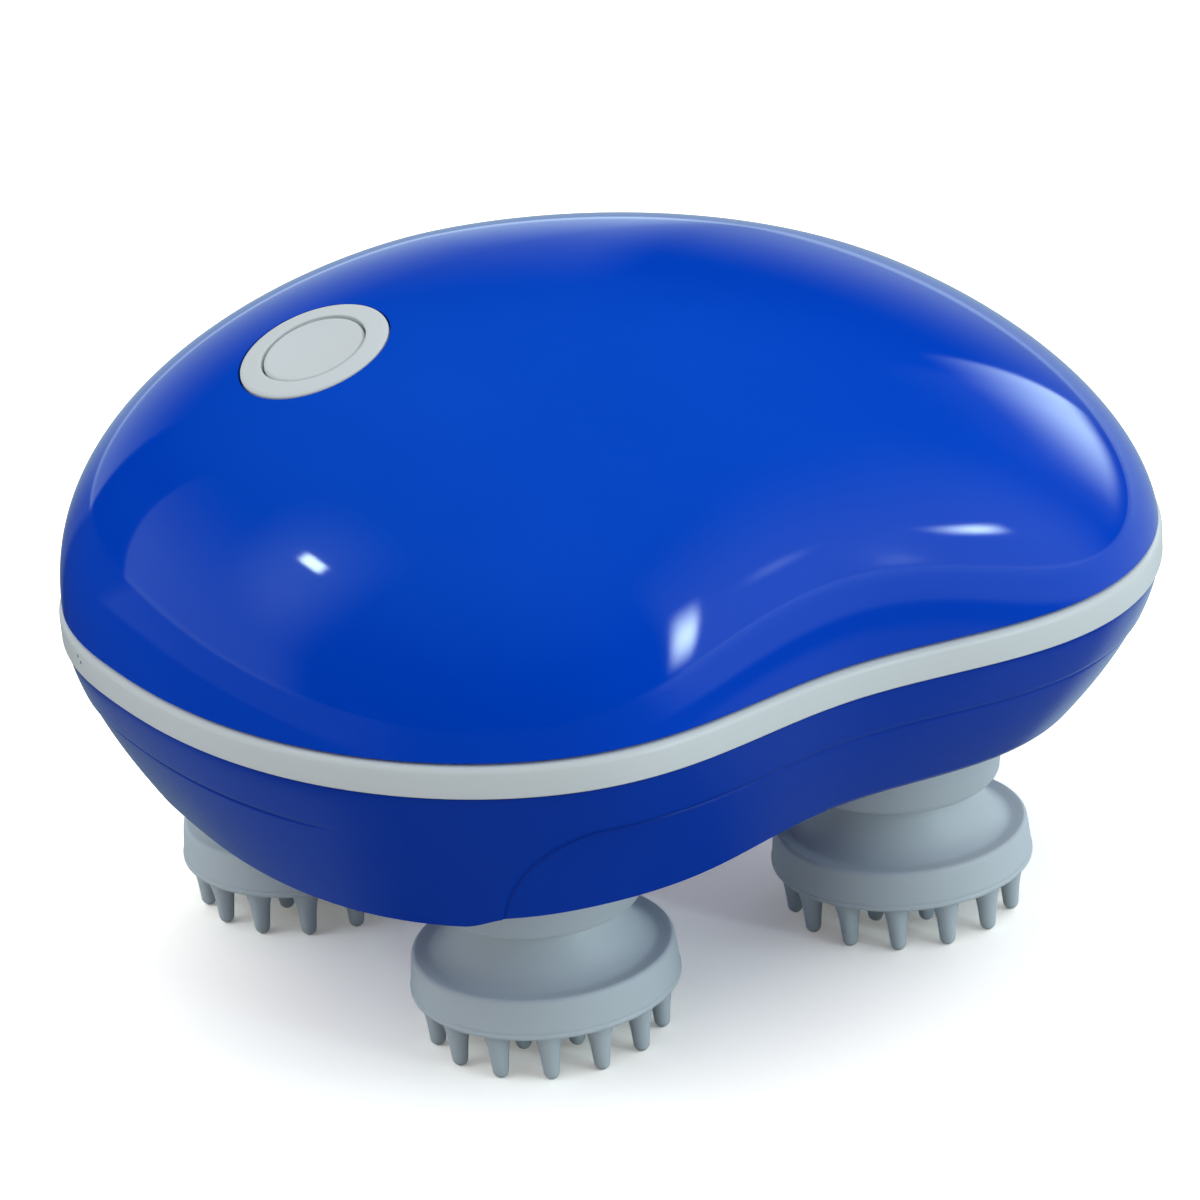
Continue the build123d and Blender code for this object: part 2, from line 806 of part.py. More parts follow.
def button_cap():
    """Dished push button with its retaining flange and stem."""
    edge = bezel_crown - crown_drop(bezel_crown_radius, button_radius)
    sides = [
        (0, stem_bottom),
        (button_stem_radius, stem_bottom),
        (button_stem_radius, flange_bottom),
        (button_flange_radius, flange_bottom),
        (button_flange_radius, flange_top),
        (button_radius, flange_top),
        (button_radius, button_dish_radius),
        (0, button_dish_radius),
    ]
    blank = revolve(Plane.XZ * make_face(Polyline(*sides, close=True)), Axis.Z)
    dish_centre = edge + sqrt(button_dish_radius ** 2 - button_radius ** 2)
    dish = Pos(0, 0, dish_centre) * Sphere(button_dish_radius)
    above = rod(2 * button_radius, edge, 2 * button_dish_radius)
    return button_frame * (blank - above - dish)


def button_seal():
    """Soft gasket under the bezel."""
    return button_frame * tube(bezel_radius, button_bore_radius, bezel_seat, -bezel_depth)


def switch_board():
    bottom = switch_board_top - switch_board_thickness
    return button_frame * rod(button_boss_radius - 0.5, bottom, switch_board_top)


def tact_switch():
    """Square switch under the button's stem."""
    middle = switch_board_top + switch_height / 2
    body = Pos(0, 0, middle) * Box(switch_size, switch_size, switch_height)
    return button_frame * (body + rod(plunger_radius, switch_board_top + switch_height, plunger_top))


# ---------------------------------------------------------------- charging pad
def charge_pad():
    """Disc in the middle of the floor's underside with two contact wells."""
    pad = rod(charge_pad_radius, floor_bottom, floor_bottom + charge_pad_thickness)
    for side in (-1, 1):
        pad -= Pos(side * contact_spacing / 2, 0, 0) * rod(contact_radius, floor_bottom - 1, floor_top)
    return Pos(0, gear_centre_y, 0) * pad


def charge_contact(side):
    contact = rod(contact_radius, floor_bottom - contact_proud, floor_bottom + charge_pad_thickness)
    return Pos(side * contact_spacing / 2, gear_centre_y, 0) * contact


# ---------------------------------------------------------------- all nodes
def all_nodes():
    nodes = {
        "upper_shell": upper_shell(),
        "trim_band": trim_band(),
        "lower_shell": lower_shell(),
        "gear_cover": gear_cover(),
        "main_gear": Pos(0, gear_centre_y, 0) * main_gear(),
        "main_gear_shaft": Pos(0, gear_centre_y, 0) * main_gear_shaft(),
        "motor_can": motor_can(),
        "motor_shaft": motor_shaft(),
        "motor_pinion": motor_pinion(),
        "battery_cradle": battery_cradle(),
        "battery_cell_front": battery_cell(front_cell_y, 0),
        "battery_cell_rear": battery_cell(rear_cell_y(), 180),
        "control_board": control_board(),
        "switch_board": switch_board(),
        "tact_switch": tact_switch(),
        "button_bezel": button_bezel(),
        "button_cap": button_cap(),
        "button_seal": button_seal(),
        "charge_pad": charge_pad(),
        "charge_contact_left": charge_contact(-1),
        "charge_contact_right": charge_contact(1),
    }
    for index, (x, y) in enumerate(screw_spots):
        nodes[f"base_screw_{index + 1}"] = base_screw(x, y)
    head = massage_head()
    for place in head_places:
        x, y = head_centre(place)
        spot = Pos(x, y, 0)
        nodes[f"massage_head_{place}"] = spot * Rot(0, 0, head_turns[place]) * head
        nodes[f"head_hub_{place}"] = spot * head_hub()
        nodes[f"output_shaft_{place}"] = spot * output_shaft()
        turn = Rot(0, 0, mesh_turn(head_places[place], output_teeth))
        nodes[f"output_gear_{place}"] = spot * turn * output_gear()
        nodes[f"collar_{place}"] = spot * collar()
        nodes[f"output_bush_{place}"] = spot * output_bush()
        nodes[f"shaft_seal_{place}"] = spot * shaft_seal()
    return nodes


os.makedirs("parts", exist_ok=True)
for name, shape in all_nodes().items():
    export_step(shape, f"parts/{name}.step")
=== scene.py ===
"""Looks of a cordless scalp massager: bean-shaped glossy housing on four spiked heads.

Lengths in the formulas are millimetres; MM turns them to metres when a mesh is made.
"""
import bpy
import bmesh
import numpy as np
from math import atan2, cos, pi, radians, sin, tan
from mathutils import Matrix, Vector


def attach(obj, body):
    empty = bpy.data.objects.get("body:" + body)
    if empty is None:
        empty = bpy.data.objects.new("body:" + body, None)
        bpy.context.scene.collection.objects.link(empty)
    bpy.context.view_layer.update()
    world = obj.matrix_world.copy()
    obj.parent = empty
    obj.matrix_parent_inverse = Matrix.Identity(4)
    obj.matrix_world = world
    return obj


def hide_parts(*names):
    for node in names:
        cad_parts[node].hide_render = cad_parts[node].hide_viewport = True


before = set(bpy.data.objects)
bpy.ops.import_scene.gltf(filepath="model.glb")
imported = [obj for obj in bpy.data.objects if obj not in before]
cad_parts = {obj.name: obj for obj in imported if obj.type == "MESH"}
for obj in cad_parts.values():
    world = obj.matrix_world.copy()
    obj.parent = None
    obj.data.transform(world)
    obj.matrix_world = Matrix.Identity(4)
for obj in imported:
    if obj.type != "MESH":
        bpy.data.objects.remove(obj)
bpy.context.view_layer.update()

MM = 0.001

# ---------------------------------------------------------------- mesh densities
MERGE_DISTANCE = 2e-6  # metres
DOME_ROWS = 110
INNER_DOME_ROWS = 40
DOME_COLUMNS = 360
BAND_COLUMNS = 480
BOWL_COLUMNS = 720
SKIRT_ROWS = 22
CAVITY_ROWS = 12
WELL_SEGMENTS = 96
SCREW_SEGMENTS = 64
LENS_SEGMENTS = 24
BUTTON_SEGMENTS = 128
HEAD_SEGMENTS = 160
SPIKE_SEGMENTS = 24
COLLAR_SEGMENTS = 128
HALVINGS = 40  # rounds of the search for a height on the dome

# ---------------------------------------------------------------- housing form
# as in the solids, but for the depth of the step, its groove, and the petal's edge and depth
HALF_LENGTH = 65.0
FRONT_HALF_DEPTH = 67.4
BACK_HALF_DEPTH = 49.7
CENTRE_Y = 4.95
OUTLINE_POWER = 2.32
WAIST_DEPTH = 10.4
WAIST_HALF_WIDTH = 30.0
BAND_BOTTOM = 44.9
BAND_TOP = 49.1
SEAM = 0.15
DOME_RISE = 37.5
DOME_PROFILE_POWER = 1.98
DOME_SIDE_POWER = 2.02
CROWN_POWER = 1.79
CROWN_SHIFT = 10.9
CROWN_SHIFT_POWER = 1.5
BOWL_DEPTH = 17.0
BOWL_BOTTOM = BAND_BOTTOM - BOWL_DEPTH
BOWL_POWER = 1.47
BOWL_TUCK = 7.4
LOBE_FULLNESS = 4.4
LOBE_ANGLE = -132.0
LOBE_SPREAD = 34.0
SIDE_TUCK = 3.0
SIDE_ANGLE = -55.0
SIDE_SPREAD = 26.0
SKIRT_HEIGHT = 5.5
STEP_HEIGHT = BAND_BOTTOM - SKIRT_HEIGHT
STEP_DEPTH = 0.25
STEP_GROOVE = 0.16
# height about the crease, share of the step's depth, share of the groove's depth
STEP_ROLL = (
    (0.5, 0.0, 0.0), (0.26, 0.08, 0.0), (0.1, 0.3, 0.05),
    (0.0, 0.85, 0.4), (-0.08, 1.0, 0.95), (-0.18, 1.0, 1.0),
    (-0.32, 1.0, 0.6), (-0.46, 1.0, 0.12), (-0.6, 1.0, 0.0),
)
STEP_WIDEST = 5.0
ROW_GAP = 0.01  # least height between the rim and the rows over it
PETAL_DEPTH = 0.8
PETAL_DEPTH_ANGLE = -119.0
PETAL_DEPTH_SPREAD = 10.0
PETAL_EDGE_X = -44.5
PETAL_CORNER = 11.0
PETAL_CORNER_LENGTH = 4.0
PETAL_FADE_ANGLE = -139.0
PETAL_FADE_SPREAD = 13.0
PETAL_RUN_IN = 9.0
PETAL_FINE_ANGLES = (-134.0, -106.0, 0.12)  # from, to and step of the columns at its corner
FRONT_RIM_LIFT = 1.5
RIM_SLOPE_REACH = 70.0
WALL = 2.2
BAND_PROUD = 0.4
TONGUE_SETBACK = 1.0
TONGUE_DEPTH = WALL + TONGUE_SETBACK
BAND_SHOULDER = 1.0
BAND_CHAMFER = 0.3
# profile of a lens about its own axis, and each lens's turn in degrees and height
LENS_PROFILE = ((0, -0.6), (0.22, -0.6), (0.22, 0.0), (0.17, 0.03), (0, 0.04))
LENS_SPOTS = ((172.65, 47.5), (173.45, 47.0))

# ---------------------------------------------------------------- floor of the lower shell
FLOOR_RECESS = 2.7
FLOOR_THICKNESS = 2.4
FLOOR_BOTTOM = BOWL_BOTTOM + FLOOR_RECESS
FLOOR_TOP = FLOOR_BOTTOM + FLOOR_THICKNESS
PAD_WELL_RADIUS = 7.1
PAD_THICKNESS = 1.2
SCREW_SPOTS = ((-50.0, 4.0), (50.0, 4.0), (0.0, -41.0))
SCREW_WELL_RADIUS = 2.6
SCREW_WELL_TOP = BAND_BOTTOM - 2.4
SCREW_BOSS_RADIUS = 4.0
BOSS_FOOT_GAP = 0.01
TOOL_OVERRUN = 1.0

# ---------------------------------------------------------------- heads and collars
GEAR_CENTRE_Y = 6.8
HEAD_DISTANCE = 38.0
HEAD_ANGLES = {
    "front_left": -90.0 - 42.2,
    "front_right": -90.0 + 42.2,
    "back_left": 90.0 + 52.7,
    "back_right": 90.0 - 52.7,
}
HEAD_TURNS = {"front_left": 9.0, "front_right": 1.0, "back_left": 8.0, "back_right": 4.0}
HEAD_BOTTOM = 6.2
NECK_TOP = 18.0
HUB_SOCKET_RADIUS = 8.0
HUB_SOCKET_FLOOR = 8.5
NECK_KNOTS = ((9.4, NECK_TOP), (9.6, 16.0), (10.4, 14.2), (11.7, 12.2), (13.2, 11.1), (14.4, 11.0))
# the wall flares downwards and ends in a fine moulding lip
HEAD_WALL = ((15.75, 9.5), (15.95, 7.4), (16.02, 7.0), (15.98, 6.92), (16.1, 6.8))
# arcs: centre, radius, first and last angle, number of points
HEAD_RIM = ((15.0, 10.55), 0.62, 80, 5, 8)
HEAD_LOWER_EDGE = ((15.75, 6.55), 0.35, 10, -90, 6)
SPIKE_TIP = 0.95
SPIKE_WAIST = 0.05
SPIKE_WAIST_LIFT = 0.4
SPIKE_FLARE_HEIGHT = 0.9
SPIKE_ROOT_RISE = 0.1
SPIKE_ROOT_SINK = 0.5
OUTER_SPIKES = 14
OUTER_SPIKE_RING = 13.6
OUTER_SPIKE_BASE = 1.6
OUTER_SPIKE_FLARE = 0.35
INNER_SPIKES = 7
INNER_SPIKE_RING = 7.2
INNER_SPIKE_BASE = 1.9
INNER_SPIKE_FLARE = 0.7
INNER_SPIKE_LIFT = 0.4
COLLAR_BORE = 5.0
COLLAR_MOUTH_RADIUS = 10.2
COLLAR_MOUTH_TOP = 20.8
COLLAR_MOUTH = ((COLLAR_MOUTH_RADIUS, 17.3), (10.4, 17.02))
COLLAR_LIP = ((11.0, 18.6), 1.6, -90, -20, 9)
COLLAR_TOP = 27.3
COLLAR_WALL = ((12.75, 19.8), (13.0, 21.5), (13.2, COLLAR_TOP))
SPIGOT_RADIUS = 8.0

# ---------------------------------------------------------------- button
BUTTON_X = -37.3
BUTTON_Y = -0.8
BEZEL_RADIUS = 9.0
BEZEL_CROWN_RADIUS = 75.0
BEZEL_CROWN = 0.15
BEZEL_CLEARANCE = 0.22
BEZEL_EDGE = 0.3
BEZEL_UNDERSIDE = -1.6
BEZEL_INNER_EDGE = ((0.05, 0.06), (0.0, 0.2))  # outwards from the bore, down from the crown
BEZEL_INNER_LAND = 0.2
BEZEL_TOP_ROWS = 8
BUTTON_RADIUS = 6.1
BUTTON_GAP = 0.25
BUTTON_SINK = 0.02
BUTTON_SHOULDER = 0.55
BUTTON_EDGE = 0.45
BUTTON_LAND = 0.6
BUTTON_LAND_DROP = 0.1
BUTTON_DISH = 0.3
BUTTON_DISH_ROWS = 14
BUTTON_STEM_RADIUS = 2.0
BUTTON_STEM_END = -4.6
BUTTON_FLANGE_RADIUS = 7.2
BUTTON_FLANGE_LOW = -2.5
BUTTON_FLANGE_HIGH = -1.7
BUTTON_BORE_RADIUS = 7.8
BUTTON_WELL_SEAT = -2.0
BUTTON_WELL_LOW = -12.0
BUTTON_WELL_HIGH = 6.0


def bean_point(angle, inset, power, waist):
    """Superellipse with a bell-shaped waist pushed into the front, x and y about its centre."""
    side = np.cos(angle)
    depth = np.sin(angle)
    half_depth = np.where(depth < 0, FRONT_HALF_DEPTH, BACK_HALF_DEPTH) - inset
    span = HALF_LENGTH - inset
    reach = (np.abs(side / span) ** power + np.abs(depth / half_depth) ** power) ** (-1 / power)
    x = reach * side
    y = reach * depth
    y = y + waist * np.exp(-((x / WAIST_HALF_WIDTH) ** 2)) * np.minimum(depth, 0) ** 2
    return x, y


def dome_point(angle, level, inset):
    """Bean outline shrunk to a point as level goes from 0 to 1, its centre moving to -X.

    The scale is one minus level to the profile power, all to one over the side power.
    """
    scale = np.maximum(1 - level ** DOME_PROFILE_POWER, 0) ** (1 / DOME_SIDE_POWER)
    power = OUTLINE_POWER + (CROWN_POWER - OUTLINE_POWER) * level
    x, y = bean_point(angle, inset, power, WAIST_DEPTH * (1 - level))
    x = scale * x - CROWN_SHIFT * level ** CROWN_SHIFT_POWER
    z = BAND_TOP + SEAM + (DOME_RISE - SEAM - inset) * level + 0 * angle
    return np.stack([x, CENTRE_Y + scale * y, z], -1)


def bell(angle, centre, spread):
    """Bell of height 1 about an angle in degrees, measured the short way round."""
    away = (np.degrees(angle) - centre + 180) % 360 - 180
    return np.exp(-((away / spread) ** 2))


def bowl_point(angle, height, inset):
    """Bean outline drawn in towards its centre as the height falls.

    It comes in by the tuck times the bowl power of the share of the bowl's depth, and by an
    inset. The tuck is smaller at the lobe and larger at the side.
    """
    share = np.maximum((BAND_BOTTOM - height) / BOWL_DEPTH, 0)
    x, y = bean_point(angle, 0, OUTLINE_POWER, WAIST_DEPTH)
    reach = np.hypot(x, y)
    tuck = BOWL_TUCK - LOBE_FULLNESS * bell(angle, LOBE_ANGLE, LOBE_SPREAD)
    tuck = tuck + SIDE_TUCK * bell(angle, SIDE_ANGLE, SIDE_SPREAD)
    scale = (reach - tuck * share ** BOWL_POWER - inset) / reach
    return np.stack([scale * x, CENTRE_Y + scale * y, height + 0 * angle], -1)


def head_centre(place):
    """Plan position of a head's axis."""
    angle = radians(HEAD_ANGLES[place])
    return HEAD_DISTANCE * cos(angle), GEAR_CENTRE_Y + HEAD_DISTANCE * sin(angle)


# ---------------------------------------------------------------- mesh making
def grid_quads(rows, columns, first=0):
    """Quads of a grid whose columns close on themselves."""
    row = np.arange(rows - 1)[:, None]
    column = np.arange(columns)[None, :]
    after = (column + 1) % columns
    corners = [row * columns + column, row * columns + after]
    corners += [(row + 1) * columns + after, (row + 1) * columns + column]
    return np.stack(corners, -1).reshape(-1, 4) + first


def closed_mesh(name, parts):
    """Mesh from grids of points in millimetres; poles are merged and normals turned outwards."""
    points = []
    quads = []
    first = 0
    for grid in parts:
        rows, columns, _ = grid.shape
        points.append(grid.reshape(-1, 3))
        quads.append(grid_quads(rows, columns, first))
        first += rows * columns
    mesh = bpy.data.meshes.new(name)
    mesh.from_pydata((np.concatenate(points) * MM).tolist(), [], np.concatenate(quads).tolist())
    work = bmesh.new()
    work.from_mesh(mesh)
    bmesh.ops.remove_doubles(work, verts=work.verts, dist=MERGE_DISTANCE)
    bmesh.ops.recalc_face_normals(work, faces=work.faces)
    work.to_mesh(mesh)
    work.free()
    return mesh


def add_object(name, data):
    """Object for a mesh, a light or a camera, linked to the scene."""
    thing = bpy.data.objects.new(name, data)
    bpy.context.scene.collection.objects.link(thing)
    return thing


def make_piece(name, parts, material, body, nodes=(), crease=35.0):
    """Visible piece from grids of points in millimetres."""
    return dress(add_object(name, closed_mesh(name, parts)), material, body, nodes, crease)


def dress(piece, material, body, nodes=(), crease=35.0):
    """Smooth shading with sharp creases, the material, the piece's body, and the solids it hides.
    """
    piece.data.shade_smooth()
    piece.data.set_sharp_from_angle(angle=radians(crease))
    piece.data.materials.clear()
    piece.data.materials.append(material)
    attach(piece, body)
    if nodes:
        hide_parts(*nodes)
    return piece


def lathe(profile, segments, centre=(0.0, 0.0)):
    """Profile of radius and height turned about a vertical line."""
    profile = np.asarray(profile, float)
    turn = np.arange(segments) * 2 * pi / segments
    x = centre[0] + profile[:, :1] * np.cos(turn)
    y = centre[1] + profile[:, :1] * np.sin(turn)
    z = np.repeat(profile[:, 1:], segments, 1)
    return np.stack([x, y, z], -1)


def rod(radius, low, high, segments, centre):
    """Closed upright cylinder."""
    return lathe([(0, low), (radius, low), (radius, high), (0, high)], segments, centre)


def arc(centre, radius, start, end, steps):
    """Points on a circular arc in the profile plane, angles in degrees."""
    turn = np.radians(np.linspace(start, end, steps))
    return [(centre[0] + radius * cos(a), centre[1] + radius * sin(a)) for a in turn]


def smooth_curve(knots, steps):
    """Points on a Catmull-Rom curve through the knots."""
    knots = np.asarray(knots, float)
    ends = np.vstack([2 * knots[0] - knots[1], knots, 2 * knots[-1] - knots[-2]])
    share = np.linspace(0, 1, steps, endpoint=False)[:, None]
    pieces = []
    for index in range(len(knots) - 1):
        a, b, c, d = ends[index:index + 4]
        bend = (2 * a - 5 * b + 4 * c - d) * share ** 2
        twist = (3 * b - a - 3 * c + d) * share ** 3
        pieces.append(0.5 * (2 * b + (c - a) * share + bend + twist))
    pieces.append(knots[-1:])
    return [tuple(point) for point in np.concatenate(pieces)]


# ---------------------------------------------------------------- materials
MELT_CLOUD_MM = 22.0
MELT_CLOUD_RANGE = (0.15, 0.85)
PLASTIC_SPREAD = 0.03
PLASTIC_IOR = 1.5
STREAK_STRETCH = 12.0
STREAK_DEPTH_MM = 0.004
METAL_SPREAD = 0.06
WHOLE = (0.0, 1.0)


def linear(code):
    """Linear colour of an sRGB hex value."""
    channels = [int(code[place:place + 2], 16) / 255 for place in (1, 3, 5)]
    turned = [c / 12.92 if c <= 0.04045 else ((c + 0.055) / 1.055) ** 2.4 for c in channels]
    return (*turned, 1.0)


def add_node(tree, kind, inputs=None, **settings):
    """Adds a node with its settings; an input is a value or another node's output."""
    node = tree.nodes.new(kind)
    for key, value in settings.items():
        setattr(node, key, value)
    for socket, value in (inputs or {}).items():
        if isinstance(value, bpy.types.NodeSocket):
            tree.links.new(value, node.inputs[socket])
        else:
            node.inputs[socket].default_value = value
    return node


def calculate(tree, operation, first, second):
    """Result of a two-value sum, product or choice."""
    return add_node(tree, "ShaderNodeMath", {0: first, 1: second}, operation=operation).outputs[0]


def vector_maths(tree, operation, inputs, output="Vector"):
    """Result of an operation on vectors."""
    return add_node(tree, "ShaderNodeVectorMath", inputs, operation=operation).outputs[output]


def cosine_to(tree, way, direction):
    """Cosine between a unit vector and a direction."""
    return vector_maths(tree, "DOT_PRODUCT", {0: way, 1: direction}, "Value")


def remap(tree, value, source, target):
    """Value carried from one range to another and held at its ends."""
    return add_node(tree, "ShaderNodeMapRange", {
        "Value": value, "From Min": source[0], "From Max": source[1],
        "To Min": target[0], "To Max": target[1]}).outputs[0]


def spread_about(middle, spread):
    """Range on both sides of a value."""
    return middle - spread, middle + spread


def noise(tree, place, size_mm, detail):
    """Noise whose features are about the given size."""
    return add_node(tree, "ShaderNodeTexNoise", {
        "Vector": place, "Scale": 1 / (size_mm * MM), "Detail": detail}).outputs["Fac"]


def bump(tree, height, depth_mm, normal=None, strength=1.0):
    """Normals of a relief of the given depth, on top of another relief if there is one."""
    inputs = {"Height": height, "Distance": depth_mm * MM, "Strength": strength}
    if normal is not None:
        inputs["Normal"] = normal
    return add_node(tree, "ShaderNodeBump", inputs).outputs[0]


def soft_step(tree, value, start, end):
    """Smooth rise from 0 at start to 1 at end, which may lie either way round."""
    return add_node(tree, "ShaderNodeMapRange", {
        "Value": value, "From Min": start, "From Max": end},
        interpolation_type="SMOOTHSTEP").outputs[0]


def product(tree, factors):
    """Product of several sockets or values."""
    result = factors[0]
    for factor in factors[1:]:
        result = calculate(tree, "MULTIPLY", result, factor)
    return result


def mix_colour(tree, share, low, high):
    """Colour between two, by a share; a colour Mix keeps them in sockets 6 and 7."""
    mix = add_node(tree, "ShaderNodeMix", {0: share}, data_type="RGBA")
    mix.inputs[6].default_value = low
    mix.inputs[7].default_value = high
    return mix.outputs[2]


def start_material(name):
    """Empty node material with its shader and a coordinate node in metres."""
    material = bpy.data.materials.new(name)
    material.use_nodes = True
    tree = material.node_tree
    tree.nodes.clear()
    place = add_node(tree, "ShaderNodeTexCoord")
    return material, tree, place.outputs["Object"]


def finish_material(tree, shader):
    """Sends a shader to the surface."""
    add_node(tree, "ShaderNodeOutputMaterial", {"Surface": shader.outputs[0]})


def moulded_plastic(name, colour, shade, roughness, grain_mm, grain_depth,
                    wave_mm=14.0, wave_depth=0.0):
    """Injection-moulded plastic: one colour clouded by melt flow, a faint grain, and sink waves."""
    material, tree, place = start_material(name)
    cloud = noise(tree, place, MELT_CLOUD_MM, 3.0)
    cloud_share = remap(tree, cloud, MELT_CLOUD_RANGE, WHOLE)
    grain = noise(tree, place, grain_mm, 2.0)
    wave = noise(tree, place, wave_mm, 1.0)
    shader = add_node(tree, "ShaderNodeBsdfPrincipled", {
        "Base Color": mix_colour(tree, cloud_share, linear(colour), linear(shade)),
        "Roughness": remap(tree, cloud, WHOLE, spread_about(roughness, PLASTIC_SPREAD)),
        "Normal": bump(tree, grain, grain_depth, bump(tree, wave, wave_depth)), "IOR": PLASTIC_IOR})
    finish_material(tree, shader)
    return material


# polished mould: mirrors the studio sharply, with slow sink waves that bend the mirrored edges
gloss_blue = moulded_plastic(
    "ABS gloss blue", "#003FBE", "#0043C6", 0.06, 0.8, 0.0006, 30.0, 0.03)
# less polished mould: highlights spread wider; its blue is darker than the dome's as painted shade
# for the underside that faces the floor
satin_blue = moulded_plastic(
    "ABS semi-gloss blue", "#00329C", "#0036A4", 0.17, 0.5, 0.0012, 24.0, 0.02)
# satin mould: pale grey with a soft sheen and no mirror image
satin_grey = moulded_plastic("ABS satin light grey", "#CDD2D4", "#D2D7D9", 0.34, 0.35, 0.003)
# soft rubber: matt, its grain only seen where light grazes it
silicone_grey = moulded_plastic("silicone rubber grey", "#C0CAD1", "#C6CFD5", 0.46, 0.5, 0.004)
# matt mould: a sheen between the satin grey's and the rubber's, a shade darker than both
collar_grey = moulded_plastic("ABS matt grey", "#BAC4CA", "#BFC8CE", 0.38, 0.4, 0.003)
# tinted polycarbonate: a pinhole darker than the band while its light is off
smoked_lens = moulded_plastic("smoked polycarbonate", "#5A6878", "#616F80", 0.2, 0.4, 0.002)


# ---------------------------------------------------------------- housing pieces
def dome_height(x, y):
    """Height of the dome over a plan point, by halving."""
    low, high = 0.0, 1.0
    for _ in range(HALVINGS):
        level = (low + high) / 2
        scale = (1 - level ** DOME_PROFILE_POWER) ** (1 / DOME_SIDE_POWER)
        power = OUTLINE_POWER + (CROWN_POWER - OUTLINE_POWER) * level
        plan_x = x + CROWN_SHIFT * level ** CROWN_SHIFT_POWER
        plan_y = y - CENTRE_Y
        edge_x, edge_y = bean_point(atan2(plan_y, plan_x), 0, power, WAIST_DEPTH * (1 - level))
        if plan_x ** 2 + plan_y ** 2 < scale ** 2 * (edge_x ** 2 + edge_y ** 2):
            low = level
        else:
            high = level
    return BAND_TOP + SEAM + (DOME_RISE - SEAM) * low


def button_matrix():
    """Frame on the dome at the button, its z axis along the dome's normal."""
    def slope(step_x, step_y):
        """Slope of the dome along a direction, taken over the ring's width."""
        ahead = dome_height(BUTTON_X + step_x, BUTTON_Y + step_y)
        behind = dome_height(BUTTON_X - step_x, BUTTON_Y - step_y)
        return (ahead - behind) / (2 * BEZEL_RADIUS)

    slope_x = slope(BEZEL_RADIUS, 0)
    slope_y = slope(0, BEZEL_RADIUS)
    up = np.array([-slope_x, -slope_y, 1.0])
    up /= np.linalg.norm(up)
    side = np.array([1.0, 0.0, slope_x])
    side /= np.linalg.norm(side)
    place = np.array([BUTTON_X, BUTTON_Y, dome_height(BUTTON_X, BUTTON_Y)])
    return np.stack([side, np.cross(up, side), up], -1), place


button_turn, button_place = button_matrix()


def on_button(grid):
    """Grid about the button's own axis, placed on the dome."""
    return grid @ button_turn.T + button_place


def cut(piece, tool_grid):
    """Takes a closed tool out of a piece and keeps the result in its mesh."""
    mesh = closed_mesh("tool", [tool_grid])
    tool = add_object("tool", mesh)
    modifier = piece.modifiers.new("cut", "BOOLEAN")
    modifier.operation = "DIFFERENCE"
    modifier.solver = "EXACT"
    modifier.object = tool
    shown = piece.evaluated_get(bpy.context.evaluated_depsgraph_get())
    made = bpy.data.meshes.new_from_object(shown)
    piece.modifiers.clear()
    old = piece.data
    piece.data = made
    bpy.data.meshes.remove(old)
    bpy.data.objects.remove(tool)
    bpy.data.meshes.remove(mesh)


def upper_shell_grid(rows, columns, inset):
    """Dome rows spaced evenly by slope.

    The level is the sine of the rise to two over the profile power, the rise going from 0 at
    the seam to a right angle at the crown.
    """
    turn = np.arange(columns)[None, :] * 2 * pi / columns
    rise = np.linspace(0, pi / 2, rows)[:, None]
    return dome_point(turn, np.sin(rise) ** (2 / DOME_PROFILE_POWER), inset)


outer_dome = upper_shell_grid(DOME_ROWS, DOME_COLUMNS, 0)
inner_dome = upper_shell_grid(INNER_DOME_ROWS, DOME_COLUMNS, WALL)
upper_shell = make_piece("upper_shell_moulding", [np.concatenate([outer_dome[::-1], inner_dome])],
                         gloss_blue, "housing")
# well for the button: a bore for the cap's flange under a wider seat for the ring
well_radius = BEZEL_RADIUS + BEZEL_CLEARANCE
button_well = [
    (0, BUTTON_WELL_LOW), (BUTTON_BORE_RADIUS, BUTTON_WELL_LOW),
    (BUTTON_BORE_RADIUS, BUTTON_WELL_SEAT), (well_radius, BUTTON_WELL_SEAT),
    (well_radius, BUTTON_WELL_HIGH), (0, BUTTON_WELL_HIGH),
]
cut(upper_shell, on_button(lathe(button_well, WELL_SEGMENTS)))
dress(upper_shell, gloss_blue, "housing", ["upper_shell"])


def swept(profile, columns):
    """Profile of outward offset and height carried round the bean outline."""
    profile = np.asarray(profile, float)
    turn = np.arange(columns)[None, :] * 2 * pi / columns
    x, y = bean_point(turn, -profile[:, :1], OUTLINE_POWER, WAIST_DEPTH)
    return np.stack([x, CENTRE_Y + y, np.repeat(profile[:, 1:], columns, 1)], -1)


def band_profile():
    """Closed section: rounded shoulder, flat face, small chamfer, and the tongue behind."""
    low = BAND_BOTTOM + SEAM
    high = BAND_TOP - SEAM
    section = arc((BAND_PROUD - BAND_SHOULDER, high - BAND_SHOULDER), BAND_SHOULDER, 90, 0, 10)
    section += arc((BAND_PROUD - BAND_CHAMFER, low + BAND_CHAMFER), BAND_CHAMFER, 0, -90, 6)
    section += [(-TONGUE_SETBACK, low), (-TONGUE_SETBACK, BAND_BOTTOM)]
    section += [(-TONGUE_DEPTH, BAND_BOTTOM), (-TONGUE_DEPTH, BAND_TOP + SEAM)]
    section += [(-TONGUE_SETBACK, BAND_TOP + SEAM), (-TONGUE_SETBACK, high), section[0]]
    return section


make_piece("trim_band_moulding", [swept(band_profile(), BAND_COLUMNS)], satin_grey, "housing",
           ["trim_band"])


